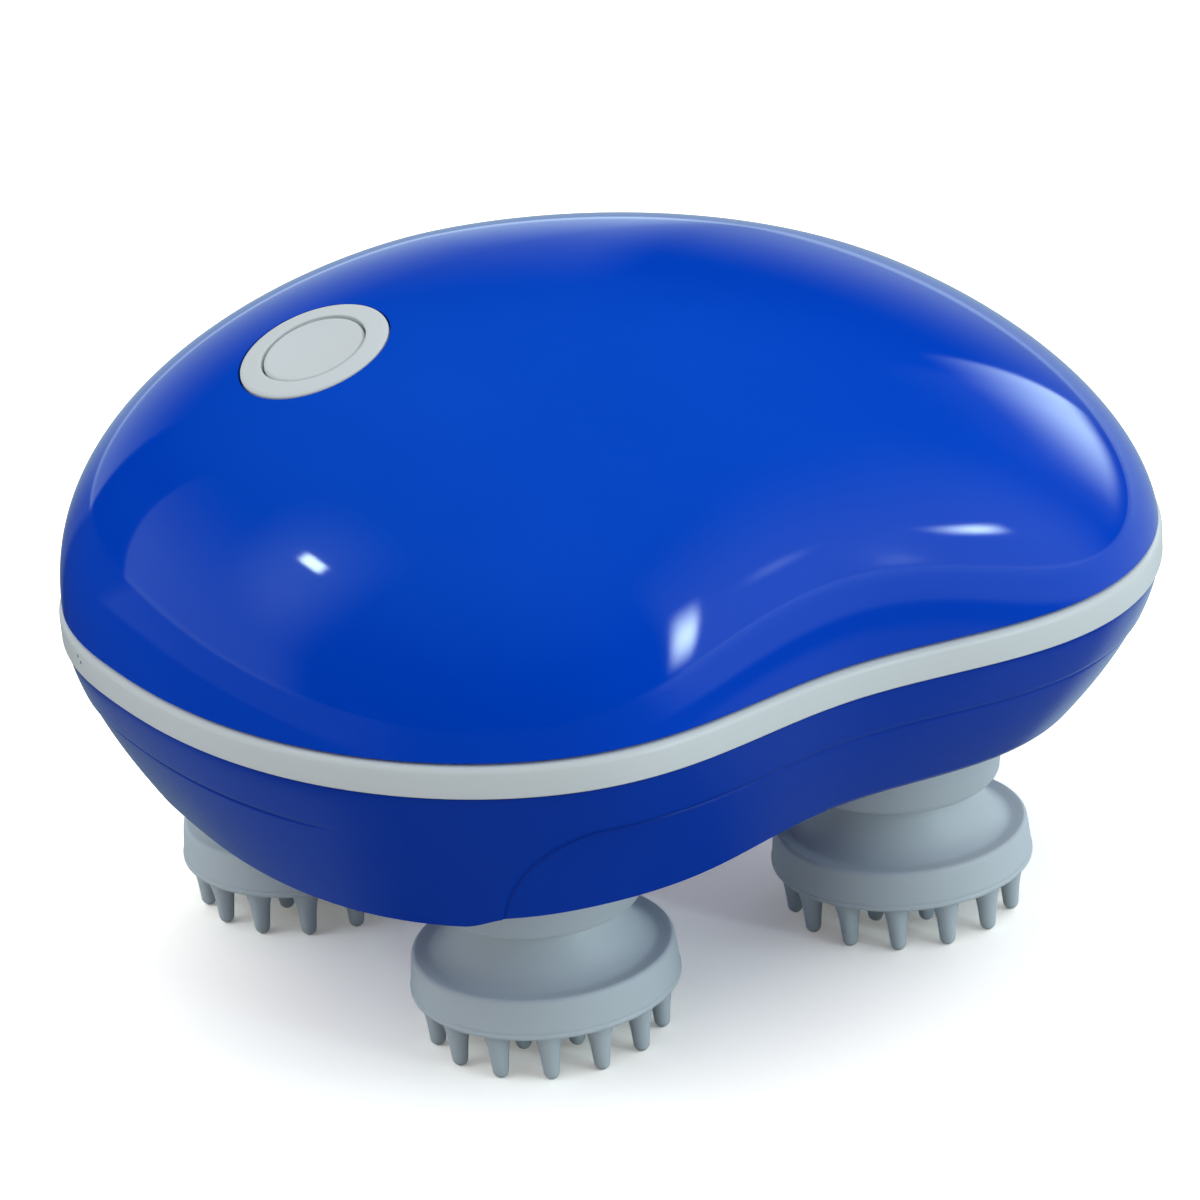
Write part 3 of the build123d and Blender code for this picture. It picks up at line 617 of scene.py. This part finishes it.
def lens_on_band(turn, height):
    """Round pin set into the band's face, square to the outline at a turn in degrees."""
    pin = lathe(LENS_PROFILE, LENS_SEGMENTS)
    spot, ahead = (
        np.array(bean_point(np.array(radians(degree)), -BAND_PROUD, OUTLINE_POWER, WAIST_DEPTH))
        for degree in (turn, turn + 0.01))
    way = (ahead - spot) / np.linalg.norm(ahead - spot)
    x = spot[0] + pin[..., 0] * way[0] + pin[..., 2] * way[1]
    y = CENTRE_Y + spot[1] + pin[..., 0] * way[1] - pin[..., 2] * way[0]
    return np.stack([x, y, height + pin[..., 1]], -1)


# two pinhole lenses for the charge light
make_piece("charge_light_lenses", [lens_on_band(*spot) for spot in LENS_SPOTS],
           smoked_lens, "housing")


def signed_degrees(angle):
    """Angle in degrees from -180 to 180."""
    return (np.degrees(angle) + 180) % 360 - 180


def after_fade(side):
    """Whether an angle in degrees lies on the front, past the place where the petal fades."""
    return (side > PETAL_FADE_ANGLE) & (side < 0)


def smooth_rise(share):
    """Share eased in and out."""
    return share ** 2 * (3 - 2 * share)


def crease_height(angle):
    """Lower end of the full skirt: the step height, falling to the rim along the petal."""
    outline = bowl_point(angle, STEP_HEIGHT, 0)
    across = np.clip((outline[..., 0] - PETAL_EDGE_X - PETAL_CORNER) / PETAL_CORNER, -1, 0)
    fall = (STEP_HEIGHT - BOWL_BOTTOM) * (1 - np.sqrt(1 - across ** 2))
    side = signed_degrees(angle)
    gentle = smooth_rise(np.clip((side - PETAL_FADE_ANGLE) / PETAL_RUN_IN, 0, 1))
    return np.where(after_fade(side), STEP_HEIGHT - fall * gentle, STEP_HEIGHT)


def rim_height(angle):
    """Height of the bottom edge, lifted at the front right of the petal's edge."""
    outline = bowl_point(angle, BOWL_BOTTOM, 0)
    forward = (RIM_SLOPE_REACH - HALF_LENGTH - outline[..., 1]) / RIM_SLOPE_REACH
    lift = FRONT_RIM_LIFT * np.clip(forward, 0, 1)
    share = np.clip((outline[..., 0] - PETAL_EDGE_X) / PETAL_CORNER_LENGTH + 0.5, 0, 1)
    return BOWL_BOTTOM + lift * smooth_rise(share)


def step_rows(turn, crease, rim, depth):
    """Rows over the step's edge: a rolled lip, then a narrow groove under it.

    Each row is a height above or below the crease with its shares of the step's and the
    groove's depth. The heights widen where the crease runs steeply, up to five times, so the
    lip keeps its width across it.
    """
    at_crease = bowl_point(turn, crease, 0)[0]
    run = np.hypot(*np.gradient(at_crease[:, :2], axis=0).T)
    steep = np.minimum(np.hypot(1, np.gradient(crease[0]) / run), STEP_WIDEST)[None, :]
    groove_depth = STEP_GROOVE * np.minimum(depth / STEP_DEPTH, 1)
    rows = []
    for lift, share, groove in STEP_ROLL:
        height = np.maximum(crease + lift * steep, rim + ROW_GAP * (1 + lift / 10))
        rows.append(bowl_point(turn, height, depth * share + groove * groove_depth))
    return np.concatenate(rows)


def lower_shell_grid():
    """Bowl with the skirt step: rows follow the crease, so its edge is crisp at any place."""
    even = np.arange(BOWL_COLUMNS) * 2 * pi / BOWL_COLUMNS
    corner = np.radians(np.arange(*PETAL_FINE_ANGLES)) % (2 * pi)
    turn = np.unique(np.concatenate([even, corner]).round(6))[None, :]
    rim = rim_height(turn)
    crease = np.maximum(crease_height(turn), rim + 2 * ROW_GAP)
    left_of_edge = bowl_point(turn, STEP_HEIGHT, 0)[..., 0] < PETAL_EDGE_X
    on_petal = after_fade(signed_degrees(turn)) & left_of_edge
    depth = STEP_DEPTH + PETAL_DEPTH * bell(turn, PETAL_DEPTH_ANGLE, PETAL_DEPTH_SPREAD)
    depth = np.where(on_petal, 0, depth * (1 - bell(turn, PETAL_FADE_ANGLE, PETAL_FADE_SPREAD)))
    edge = step_rows(turn, crease, rim, depth).reshape(len(STEP_ROLL), -1, 3)
    share = np.linspace(0, 1, SKIRT_ROWS)[:, None]
    skirt = bowl_point(turn, BAND_BOTTOM + (edge[0, :, 2] - BAND_BOTTOM) * share[:-1], 0)
    body = bowl_point(turn, edge[-1, :, 2] + (rim - edge[-1, :, 2]) * share[1:], depth)
    recess = bowl_point(turn, BOWL_BOTTOM, WALL)
    recess_low = np.concatenate([recess[..., :2], rim[..., None]], -1)
    recess_high = np.concatenate([recess[..., :2], 0 * rim[..., None] + FLOOR_BOTTOM], -1)
    middle = np.array([0.0, CENTRE_Y, FLOOR_BOTTOM]) + 0 * recess
    cavity_share = np.linspace(0, 1, CAVITY_ROWS)[:, None]
    cavity = bowl_point(turn, FLOOR_TOP + (BAND_BOTTOM - FLOOR_TOP) * cavity_share, WALL)
    inside_middle = np.array([0.0, CENTRE_Y, FLOOR_TOP]) + 0 * recess
    return np.concatenate(
        [inside_middle, cavity, skirt, edge, body, recess_low, recess_high, middle])


# the lower shell's darker blue is painted shade for its floor-facing underside
lower_shell = make_piece("lower_shell_moulding", [lower_shell_grid()], satin_blue, "housing",
                         ["lower_shell"], crease=60.0)
# wells in the floor for the charging pad and the three screws
below_floor = FLOOR_BOTTOM - TOOL_OVERRUN
pad_top = FLOOR_BOTTOM + PAD_THICKNESS
cut(lower_shell, rod(PAD_WELL_RADIUS, below_floor, pad_top, WELL_SEGMENTS, (0.0, GEAR_CENTRE_Y)))
for spot in SCREW_SPOTS:
    cut(lower_shell, rod(SCREW_WELL_RADIUS, below_floor, SCREW_WELL_TOP, SCREW_SEGMENTS, spot))
dress(lower_shell, satin_blue, "housing", ["lower_shell"], crease=60.0)

# bosses that the screws sit in, a hair above the floor so the two meshes stay apart
boss_foot = FLOOR_TOP + BOSS_FOOT_GAP
boss_profile = [
    (SCREW_WELL_RADIUS, boss_foot), (SCREW_BOSS_RADIUS, boss_foot),
    (SCREW_BOSS_RADIUS, BAND_BOTTOM), (0, BAND_BOTTOM), (0, SCREW_WELL_TOP),
    (SCREW_WELL_RADIUS, SCREW_WELL_TOP), (SCREW_WELL_RADIUS, boss_foot),
]
bosses = [lathe(boss_profile, SCREW_SEGMENTS, spot) for spot in SCREW_SPOTS]
make_piece("lower_shell_screw_bosses", bosses, satin_blue, "housing")


# ---------------------------------------------------------------- button
def bezel_crown(radius):
    """Height of the ring's gently crowned top at a radius."""
    return BEZEL_CROWN - BEZEL_CROWN_RADIUS + np.sqrt(BEZEL_CROWN_RADIUS ** 2 - radius ** 2)


def bezel_profile():
    """Ring section: crowned top with rounded edges, open to the cap in the middle."""
    inner = BUTTON_RADIUS + BUTTON_GAP
    shoulder = bezel_crown(BEZEL_RADIUS) - BEZEL_EDGE
    section = [(inner, BEZEL_UNDERSIDE), (BEZEL_RADIUS, BEZEL_UNDERSIDE), (BEZEL_RADIUS, shoulder)]
    section += arc((BEZEL_RADIUS - BEZEL_EDGE, shoulder), BEZEL_EDGE, 10, 80, 5)
    top = np.linspace(BEZEL_RADIUS - BEZEL_EDGE, inner + BEZEL_INNER_LAND, BEZEL_TOP_ROWS)
    section += [(radius, bezel_crown(radius)) for radius in top]
    section += [(inner + out, bezel_crown(inner) - down) for out, down in BEZEL_INNER_EDGE]
    return section + [(inner, BEZEL_UNDERSIDE)]


def cap_profile():
    """Dished cap with a rounded shoulder, a retaining flange and a stem."""
    edge = bezel_crown(BUTTON_RADIUS) - BUTTON_SINK
    shoulder = edge - BUTTON_SHOULDER
    section = [
        (0, BUTTON_STEM_END), (BUTTON_STEM_RADIUS, BUTTON_STEM_END),
        (BUTTON_STEM_RADIUS, BUTTON_FLANGE_LOW), (BUTTON_FLANGE_RADIUS, BUTTON_FLANGE_LOW),
        (BUTTON_FLANGE_RADIUS, BUTTON_FLANGE_HIGH), (BUTTON_RADIUS, BUTTON_FLANGE_HIGH),
        (BUTTON_RADIUS, shoulder),
    ]
    section += arc((BUTTON_RADIUS - BUTTON_EDGE, shoulder), BUTTON_EDGE, 15, 75, 5)
    for radius in np.linspace(BUTTON_RADIUS - BUTTON_LAND, 0, BUTTON_DISH_ROWS):
        dish = BUTTON_DISH * (1 - (radius / BUTTON_RADIUS) ** 2)
        section.append((radius, edge - BUTTON_LAND_DROP - dish))
    return section


make_piece("button_ring_moulding", [on_button(lathe(bezel_profile(), BUTTON_SEGMENTS))],
           satin_grey, "housing", ["button_bezel"])
make_piece("button_cap_moulding", [on_button(lathe(cap_profile(), BUTTON_SEGMENTS))],
           satin_grey, "push_button", ["button_cap"])


# ---------------------------------------------------------------- heads and collars
def head_profile():
    """Trumpet neck, dished top, rolled rim, slightly flared wall with a lip, flat underside."""
    section = [(HUB_SOCKET_RADIUS, NECK_TOP)] + smooth_curve(NECK_KNOTS, 6) + arc(*HEAD_RIM)
    section += [*HEAD_WALL, *arc(*HEAD_LOWER_EDGE), (0, HEAD_BOTTOM), (0, HUB_SOCKET_FLOOR)]
    return section + [(HUB_SOCKET_RADIUS, HUB_SOCKET_FLOOR), (HUB_SOCKET_RADIUS, NECK_TOP)]


def spike_profile(base, low, flare):
    """Tapered spike with a round end below and a flared root sunk into the disc."""
    end = arc((0, low + SPIKE_TIP), SPIKE_TIP, -90, -8, 7)
    waist = ((SPIKE_TIP + base) / 2 - SPIKE_WAIST, (low + HEAD_BOTTOM) / 2 + SPIKE_WAIST_LIFT)
    root = (base + flare, HEAD_BOTTOM + SPIKE_ROOT_RISE)
    side = smooth_curve([end[-1], waist, (base, HEAD_BOTTOM - SPIKE_FLARE_HEIGHT), root], 4)
    sunk = HEAD_BOTTOM + SPIKE_ROOT_SINK
    return end + side[1:] + [(base + flare, sunk), (0, sunk)]


def spike_grids(profile, count, ring, phase):
    """Copies of a turned spike on a ring, the first at a phase in degrees."""
    one = lathe(profile, SPIKE_SEGMENTS, (ring, 0.0))
    grids = []
    for index in range(count):
        turn = radians(phase) + 2 * pi * index / count
        x = one[..., 0] * cos(turn) - one[..., 1] * sin(turn)
        y = one[..., 0] * sin(turn) + one[..., 1] * cos(turn)
        grids.append(np.stack([x, y, one[..., 2]], -1))
    return grids


def collar_profile():
    """Cup round the neck: open mouth below, rounded lip, cylindrical wall, spigot above."""
    return [
        (COLLAR_BORE, COLLAR_MOUTH_TOP), (COLLAR_MOUTH_RADIUS, COLLAR_MOUTH_TOP),
        *COLLAR_MOUTH, *arc(*COLLAR_LIP), *COLLAR_WALL,
        (COLLAR_MOUTH_RADIUS, COLLAR_TOP), (COLLAR_MOUTH_RADIUS, FLOOR_BOTTOM),
        (SPIGOT_RADIUS, FLOOR_BOTTOM), (SPIGOT_RADIUS, FLOOR_TOP),
        (COLLAR_BORE, FLOOR_TOP), (COLLAR_BORE, COLLAR_MOUTH_TOP),
    ]


outer_spike = spike_profile(OUTER_SPIKE_BASE, 0.0, OUTER_SPIKE_FLARE)
inner_spike = spike_profile(INNER_SPIKE_BASE, INNER_SPIKE_LIFT, INNER_SPIKE_FLARE)
for place in HEAD_ANGLES:
    axis = np.array([*head_centre(place), 0.0])
    grids = [lathe(head_profile(), HEAD_SEGMENTS)]
    grids += spike_grids(outer_spike, OUTER_SPIKES, OUTER_SPIKE_RING, HEAD_TURNS[place])
    grids += spike_grids(inner_spike, INNER_SPIKES, INNER_SPIKE_RING, HEAD_TURNS[place])
    make_piece(f"silicone_head_{place}", [grid + axis for grid in grids], silicone_grey,
               f"head_{place}", [f"massage_head_{place}"], crease=50.0)
for place in HEAD_ANGLES:
    collar = lathe(collar_profile(), COLLAR_SEGMENTS, head_centre(place))
    make_piece(f"collar_moulding_{place}", [collar], collar_grey,
               "housing", [f"collar_{place}"])

# ---------------------------------------------------------------- materials of the solids that stay
inner_finishes = {
    # glass fibre at the surface: near black with no clear highlight
    "gear_cover": moulded_plastic("glass-filled nylon black", "#1E1F21", "#24262A", 0.5, 0.6, 0.01),
    # plain moulding: black with a broad soft highlight
    "battery_cradle": moulded_plastic("ABS black", "#222427", "#292B2F", 0.45, 0.6, 0.008),
    # waxy mid grey
    "head_hub": moulded_plastic("acetal grey", "#4E555B", "#565D63", 0.4, 0.6, 0.006),
    # undyed: waxy ivory white
    "gear": moulded_plastic("acetal natural", "#E4E0D2", "#EAE6DA", 0.35, 0.5, 0.004),
    # soft rubber: flat black
    "seal": moulded_plastic("nitrile rubber black", "#18191A", "#1F2021", 0.6, 0.4, 0.01),
    # thin film drawn tight: half-shiny green with ripples a few millimetres wide
    "cell": moulded_plastic("PVC shrink film green", "#1E7A5C", "#238564", 0.28, 3.0, 0.01),
    # lacquer over the weave: half-shiny dark green, slightly uneven
    "board": moulded_plastic("solder mask green", "#0E5A2C", "#116533", 0.3, 1.2, 0.01),
    # small dull black moulding
    "switch": moulded_plastic("PBT black", "#161718", "#1D1E1F", 0.45, 0.4, 0.008),
    # satin dark grey that the contacts stand out from
    "pad": moulded_plastic("ABS dark grey", "#2A2D31", "#303338", 0.4, 0.5, 0.006),
}


def metal(name, colour, shade, roughness, streak_mm):
    """Bare metal with turning or drawing marks as fine streaks across the axis."""
    material, tree, place = start_material(name)
    stretch = add_node(tree, "ShaderNodeMapping", {
        "Vector": place, "Scale": (1.0, 1.0, STREAK_STRETCH)})
    marks = noise(tree, stretch.outputs[0], streak_mm, 3.0)
    shader = add_node(tree, "ShaderNodeBsdfPrincipled", {
        "Base Color": mix_colour(tree, marks, linear(colour), linear(shade)), "Metallic": 1.0,
        "Roughness": remap(tree, marks, WHOLE, spread_about(roughness, METAL_SPREAD)),
        "Normal": bump(tree, marks, STREAK_DEPTH_MM)})
    finish_material(tree, shader)
    return material


# ground bar: bright, with fine rings round the shafts and screws
ground_steel = metal("ground stainless steel", "#B9BABC", "#A6A7A9", 0.28, 1.0)
# drawn can: a warmer plated grey, its rings broader and softer
drawn_steel = metal("nickel-plated drawn steel", "#B5B4B0", "#A9A8A4", 0.32, 2.0)
# turned bush: yellow, its tool marks still seen
turned_brass = metal("turned brass", "#C9A04E", "#B78F43", 0.3, 1.0)
# plated contact: smoother and a brighter yellow than the bush
gold_plate = metal("gold-plated brass", "#E0B85C", "#D2A94E", 0.2, 1.0)


def solid_finish(node):
    """Material of a solid that stays as it is, from its name."""
    if node.startswith(("output_shaft", "main_gear_shaft", "motor_shaft", "base_screw")):
        return ground_steel
    if node.startswith(("output_gear", "main_gear", "motor_pinion")):
        return inner_finishes["gear"]
    if node.startswith(("shaft_seal", "button_seal")):
        return inner_finishes["seal"]
    if node.startswith("battery_cell"):
        return inner_finishes["cell"]
    if node.endswith("_board"):
        return inner_finishes["board"]
    if node.startswith("head_hub"):
        return inner_finishes["head_hub"]
    if node.startswith("output_bush"):
        return turned_brass
    if node.startswith("charge_contact"):
        return gold_plate
    if node in ("gear_cover", "battery_cradle"):
        return inner_finishes[node]
    return {"motor_can": drawn_steel, "tact_switch": inner_finishes["switch"],
            "charge_pad": inner_finishes["pad"]}.get(node)


for name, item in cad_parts.items():
    finish = solid_finish(name)
    if finish is not None:
        item.data.materials.clear()
        item.data.materials.append(finish)

# ---------------------------------------------------------------- floor
FLOOR_HALF = 3.0
PAPER_WHITE = (1.0, 0.975, 0.94, 1.0)
PAPER_LIFT = (0.5, 0.49, 0.47, 1.0)
PAPER_GLOW = (1.0, 0.9, 0.78, 1.0)
PAPER_GLOW_LEVEL = 0.1
PAPER_GREY = (0.68, 0.68, 0.68, 1.0)
FIBRE_MM = 2.5
FIBRE_DEPTH_MM = 0.02
FIBRE_STRENGTH = 0.2
# painted light and shade on the floor, seen only by glossy rays. Each sector has a direction from
# the floor's middle and the cosines to it between which the sector's edge fades
BACK_WAY = (0.49, 0.87, 0.0)
PAINTED_LIGHT_RIGHT = ((0.87, -0.49, 0.0), -0.3, 0.3)
PAINTED_LIGHT_BACK = (BACK_WAY, 0.75, 0.95)
NOT_IN_FRONT = (BACK_WAY, -0.85, -0.6)
ENDS_NOT_IN_FRONT = (BACK_WAY, -0.85, -0.55)
OUT_OF_PAINTED_FLAG_SHADOW = ((-0.454, 0.891, 0.0), 0.985, 0.967)
BELT_OPENING = ((0.67, 0.74, 0.0), 0.1, 0.4)
# the belt and the ends: distances in metres
BELT_CENTRE = (-0.035, 0.03, 0.0)
BELT_EDGE = (0.21, 0.25)
ENDS_EDGE = (0.14, 0.11)
FAR_LEVELS = (0.11, 0.4)
ENDS_LEVEL = 0.24
PAINTED_SHADE_LEVEL = 0.03
MIRROR_TINT = (0.8, 1.03, 1.08)

floor_corners = [
    (-FLOOR_HALF, -FLOOR_HALF, 0), (FLOOR_HALF, -FLOOR_HALF, 0),
    (FLOOR_HALF, FLOOR_HALF, 0), (-FLOOR_HALF, FLOOR_HALF, 0),
]
floor_mesh = bpy.data.meshes.new("floor")
floor_mesh.from_pydata(floor_corners, [], [(0, 1, 2, 3)])
floor_piece = add_object("floor", floor_mesh)
# matt paper, white to the camera and pale grey to the light; the fibres give a faint tooth
floor_paper, floor_tree, floor_at = start_material("matt white paper")
fibres = noise(floor_tree, floor_at, FIBRE_MM, 2.0)
paper_relief = bump(floor_tree, fibres, FIBRE_DEPTH_MM, strength=FIBRE_STRENGTH)


def paper(colour):
    """Matt paper; its colour may be a socket."""
    return add_node(floor_tree, "ShaderNodeBsdfDiffuse", {
        "Color": colour, "Normal": paper_relief}).outputs[0]


def both_shaders(first, second):
    """Two shaders added."""
    return add_node(floor_tree, "ShaderNodeAddShader", {0: first, 1: second}).outputs[0]


floor_way = vector_maths(floor_tree, "NORMALIZE", {0: floor_at})
belt_reach = vector_maths(floor_tree, "DISTANCE", {0: floor_at, 1: BELT_CENTRE}, "Value")
reach = vector_maths(floor_tree, "LENGTH", {0: floor_at}, "Value")


def floor_sector(direction, start, end):
    """Soft step on the cosine between a floor point's bearing and a direction."""
    return soft_step(floor_tree, cosine_to(floor_tree, floor_way, direction), start, end)


# painted light on the paper at the right and behind, painted shade before the object, a painted
# flag shadow and a painted dark belt round it, and painted light again close to its two ends
painted_light_sides = calculate(floor_tree, "MAXIMUM", floor_sector(*PAINTED_LIGHT_RIGHT), floor_sector(*PAINTED_LIGHT_BACK))
open_belt = calculate(floor_tree, "MAXIMUM", soft_step(floor_tree, belt_reach, *BELT_EDGE),
                      floor_sector(*BELT_OPENING))
far_share = product(floor_tree, [
    remap(floor_tree, painted_light_sides, WHOLE, FAR_LEVELS), floor_sector(*NOT_IN_FRONT),
    floor_sector(*OUT_OF_PAINTED_FLAG_SHADOW), open_belt])
ends_share = product(floor_tree, [
    ENDS_LEVEL, floor_sector(*ENDS_NOT_IN_FRONT), soft_step(floor_tree, reach, *ENDS_EDGE)])
painted_light_share = calculate(floor_tree, "ADD", far_share, ends_share)
painted_light_level = calculate(floor_tree, "ADD", painted_light_share, PAINTED_SHADE_LEVEL)
# floor colour for glossy rays: painted light and shade, tinted cool
painted_mirror_colour = vector_maths(floor_tree, "SCALE", {0: MIRROR_TINT, "Scale": painted_light_level})

paper_glow = add_node(floor_tree, "ShaderNodeEmission", {
    "Color": PAPER_GLOW, "Strength": PAPER_GLOW_LEVEL}).outputs[0]
seen_paper = both_shaders(both_shaders(paper(PAPER_WHITE), paper(PAPER_LIFT)), paper_glow)
floor_ray = add_node(floor_tree, "ShaderNodeLightPath")
unseen_paper = add_node(floor_tree, "ShaderNodeMixShader", {
    0: floor_ray.outputs["Is Glossy Ray"], 1: paper(PAPER_GREY), 2: paper(painted_mirror_colour)})
finish_material(floor_tree, add_node(floor_tree, "ShaderNodeMixShader", {
    0: floor_ray.outputs["Is Camera Ray"], 1: unseen_paper.outputs[0], 2: seen_paper}))
floor_mesh.materials.append(floor_paper)

# ---------------------------------------------------------------- lamps and room
STUDIO_CENTRE = Vector((0.0, 0.0, 0.06))
LAMP_DISTANCE = 1.2
LAMP_TINT = (0.74, 0.97, 1.03, 1.0)
# name; azimuth, elevation, width and height in degrees; radiance; shares of the box over which
# the light fades in from its left, right, bottom and top edge
LAMPS = (
    ("left_spot", -104.5, 43.5, 7.0, 4.5, 26.0, (0.3, 0.3, 0.3, 0.3)),
    ("left_glow", -104.5, 38.0, 34.0, 54.0, 0.72, (0.5, 0.5, 0.5, 0.5)),
    ("left_wall", -117.0, 10.0, 52.0, 66.0, 0.43, (0.02, 0.3, 0.04, 0.5)),
    ("far_left_wall", 169.0, 6.0, 52.0, 58.0, 0.55, (0.1, 0.05, 0.1, 0.7)),
    ("right_spot", 20.3, 13.0, 9.4, 28.0, 20.0, (0.5, 0.3, 0.5, 0.5)),
    ("right_slit", 40.0, 18.5, 18.0, 7.0, 20.0, (0.5, 0.5, 0.5, 0.5)),
    ("right_wall", 50.0, 22.0, 72.0, 74.0, 0.62, (0.15, 0.5, 0.02, 0.6)),
    ("right_window", 105.0, 13.5, 31.0, 25.0, 3.0, (0.8, 0.04, 0.25, 0.7)),
    ("right_window_glow", 97.0, 18.0, 40.0, 40.0, 0.25, (0.5, 0.1, 0.2, 0.6)),
    ("back_wall", 140.0, 4.0, 60.0, 34.0, 0.48, (0.5, 0.6, 0.1, 0.6)),
)


def soft_box(name, azimuth, elevation, width, height, radiance, fades):
    """Rectangular lamp; direction and size as seen from the object in degrees."""
    turn, rise = radians(azimuth), radians(elevation)
    way = Vector((sin(turn) * cos(rise), -cos(turn) * cos(rise), sin(rise)))
    data = bpy.data.lights.new(name, "AREA")
    data.shape = "RECTANGLE"
    data.size = 2 * LAMP_DISTANCE * tan(radians(width / 2))
    data.size_y = 2 * LAMP_DISTANCE * tan(radians(height / 2))
    data.energy = radiance * pi * data.size * data.size_y
    data.use_nodes = True
    tree = data.node_tree
    tree.nodes.clear()
    on_box = add_node(tree, "ShaderNodeTexCoord").outputs["UV"]
    across, upward, _ = add_node(tree, "ShaderNodeSeparateXYZ", {0: on_box}).outputs
    left, right, bottom, top = fades
    share = product(tree, [
        soft_step(tree, across, 0.0, left), soft_step(tree, across, 1.0, 1.0 - right),
        soft_step(tree, upward, 0.0, bottom), soft_step(tree, upward, 1.0, 1.0 - top)])
    glow = add_node(tree, "ShaderNodeEmission", {"Color": LAMP_TINT, "Strength": share})
    add_node(tree, "ShaderNodeOutputLight", {"Surface": glow.outputs[0]})
    lamp = add_object(name, data)
    lamp.location = STUDIO_CENTRE + LAMP_DISTANCE * way
    lamp.rotation_mode = "QUATERNION"
    lamp.rotation_quaternion = way.to_track_quat("Z", "Y")
    lamp.visible_camera = False


for lamp_row in LAMPS:
    soft_box(*lamp_row)

WHITE = (1.0, 1.0, 1.0, 1.0)
# the soft light's middle, the cosines to it over which it fades, and its levels
SKY_WAY = (0.304, 0.486, 0.819)
SKY_COSINES = (-0.357, 0.3)
SKY_LEVELS = (0.01, 1.03)
# the room as the gloss mirrors it: heights over which it pales to the ceiling, and levels
ROOM_BLUE = (0.08, 0.5, 0.9, 1.0)
CEILING_HEIGHTS = (0.4, 0.9)
ROOM_LEVELS = (0.012, 0.5)

world = bpy.data.worlds.new("studio")
bpy.context.scene.world = world
world.use_nodes = True
sky = world.node_tree
sky.nodes.clear()


def background(colour, strength):
    """Background of one colour; its strength may be a socket."""
    return add_node(sky, "ShaderNodeBackground", {
        "Color": colour, "Strength": strength}).outputs[0]


# soft light from above and behind, a dim room with a paler ceiling to the gloss, and white to
# the camera
look = add_node(sky, "ShaderNodeTexCoord").outputs["Generated"]
soft = background(WHITE, remap(sky, cosine_to(sky, look, SKY_WAY), SKY_COSINES, SKY_LEVELS))
look_up = add_node(sky, "ShaderNodeSeparateXYZ", {0: look}).outputs["Z"]
room = background(ROOM_BLUE, remap(sky, look_up, CEILING_HEIGHTS, ROOM_LEVELS))
ray = add_node(sky, "ShaderNodeLightPath")
unseen = add_node(sky, "ShaderNodeMixShader", {0: ray.outputs["Is Glossy Ray"], 1: soft, 2: room})
both = add_node(sky, "ShaderNodeMixShader", {
    0: ray.outputs["Is Camera Ray"], 1: unseen.outputs[0], 2: background(WHITE, 1.0)})
add_node(sky, "ShaderNodeOutputWorld", {"Surface": both.outputs[0]})

# ---------------------------------------------------------------- picture and camera
bpy.context.scene.view_settings.view_transform = "Standard"

CAMERA_AZIMUTH = -29.29
CAMERA_ELEVATION = 22.66
CAMERA_ROLL = -4.73
CAMERA_PLACE = (-248.65, -439.58, 251.55)
CAMERA_SENSOR = 36.0
CAMERA_LENS = 135.0
CAMERA_CLIP = (0.01, 10.0)
azimuth, elevation, roll = (radians(a) for a in (CAMERA_AZIMUTH, CAMERA_ELEVATION, CAMERA_ROLL))
back = Vector((sin(azimuth) * cos(elevation), -cos(azimuth) * cos(elevation), sin(elevation)))
level_right = Vector((cos(azimuth), sin(azimuth), 0.0))
level_up = level_right.cross(-back)
image_right = level_right * cos(roll) + level_up * sin(roll)
image_up = -level_right * sin(roll) + level_up * cos(roll)
camera_data = bpy.data.cameras.new("camera")
camera_data.sensor_width = CAMERA_SENSOR
camera_data.lens = CAMERA_LENS
camera_data.clip_start, camera_data.clip_end = CAMERA_CLIP
camera = add_object("camera", camera_data)
turn = Matrix((image_right, image_up, back)).transposed()
camera.matrix_world = Matrix.Translation(Vector(CAMERA_PLACE) * MM) @ turn.to_4x4()
bpy.context.scene.camera = camera
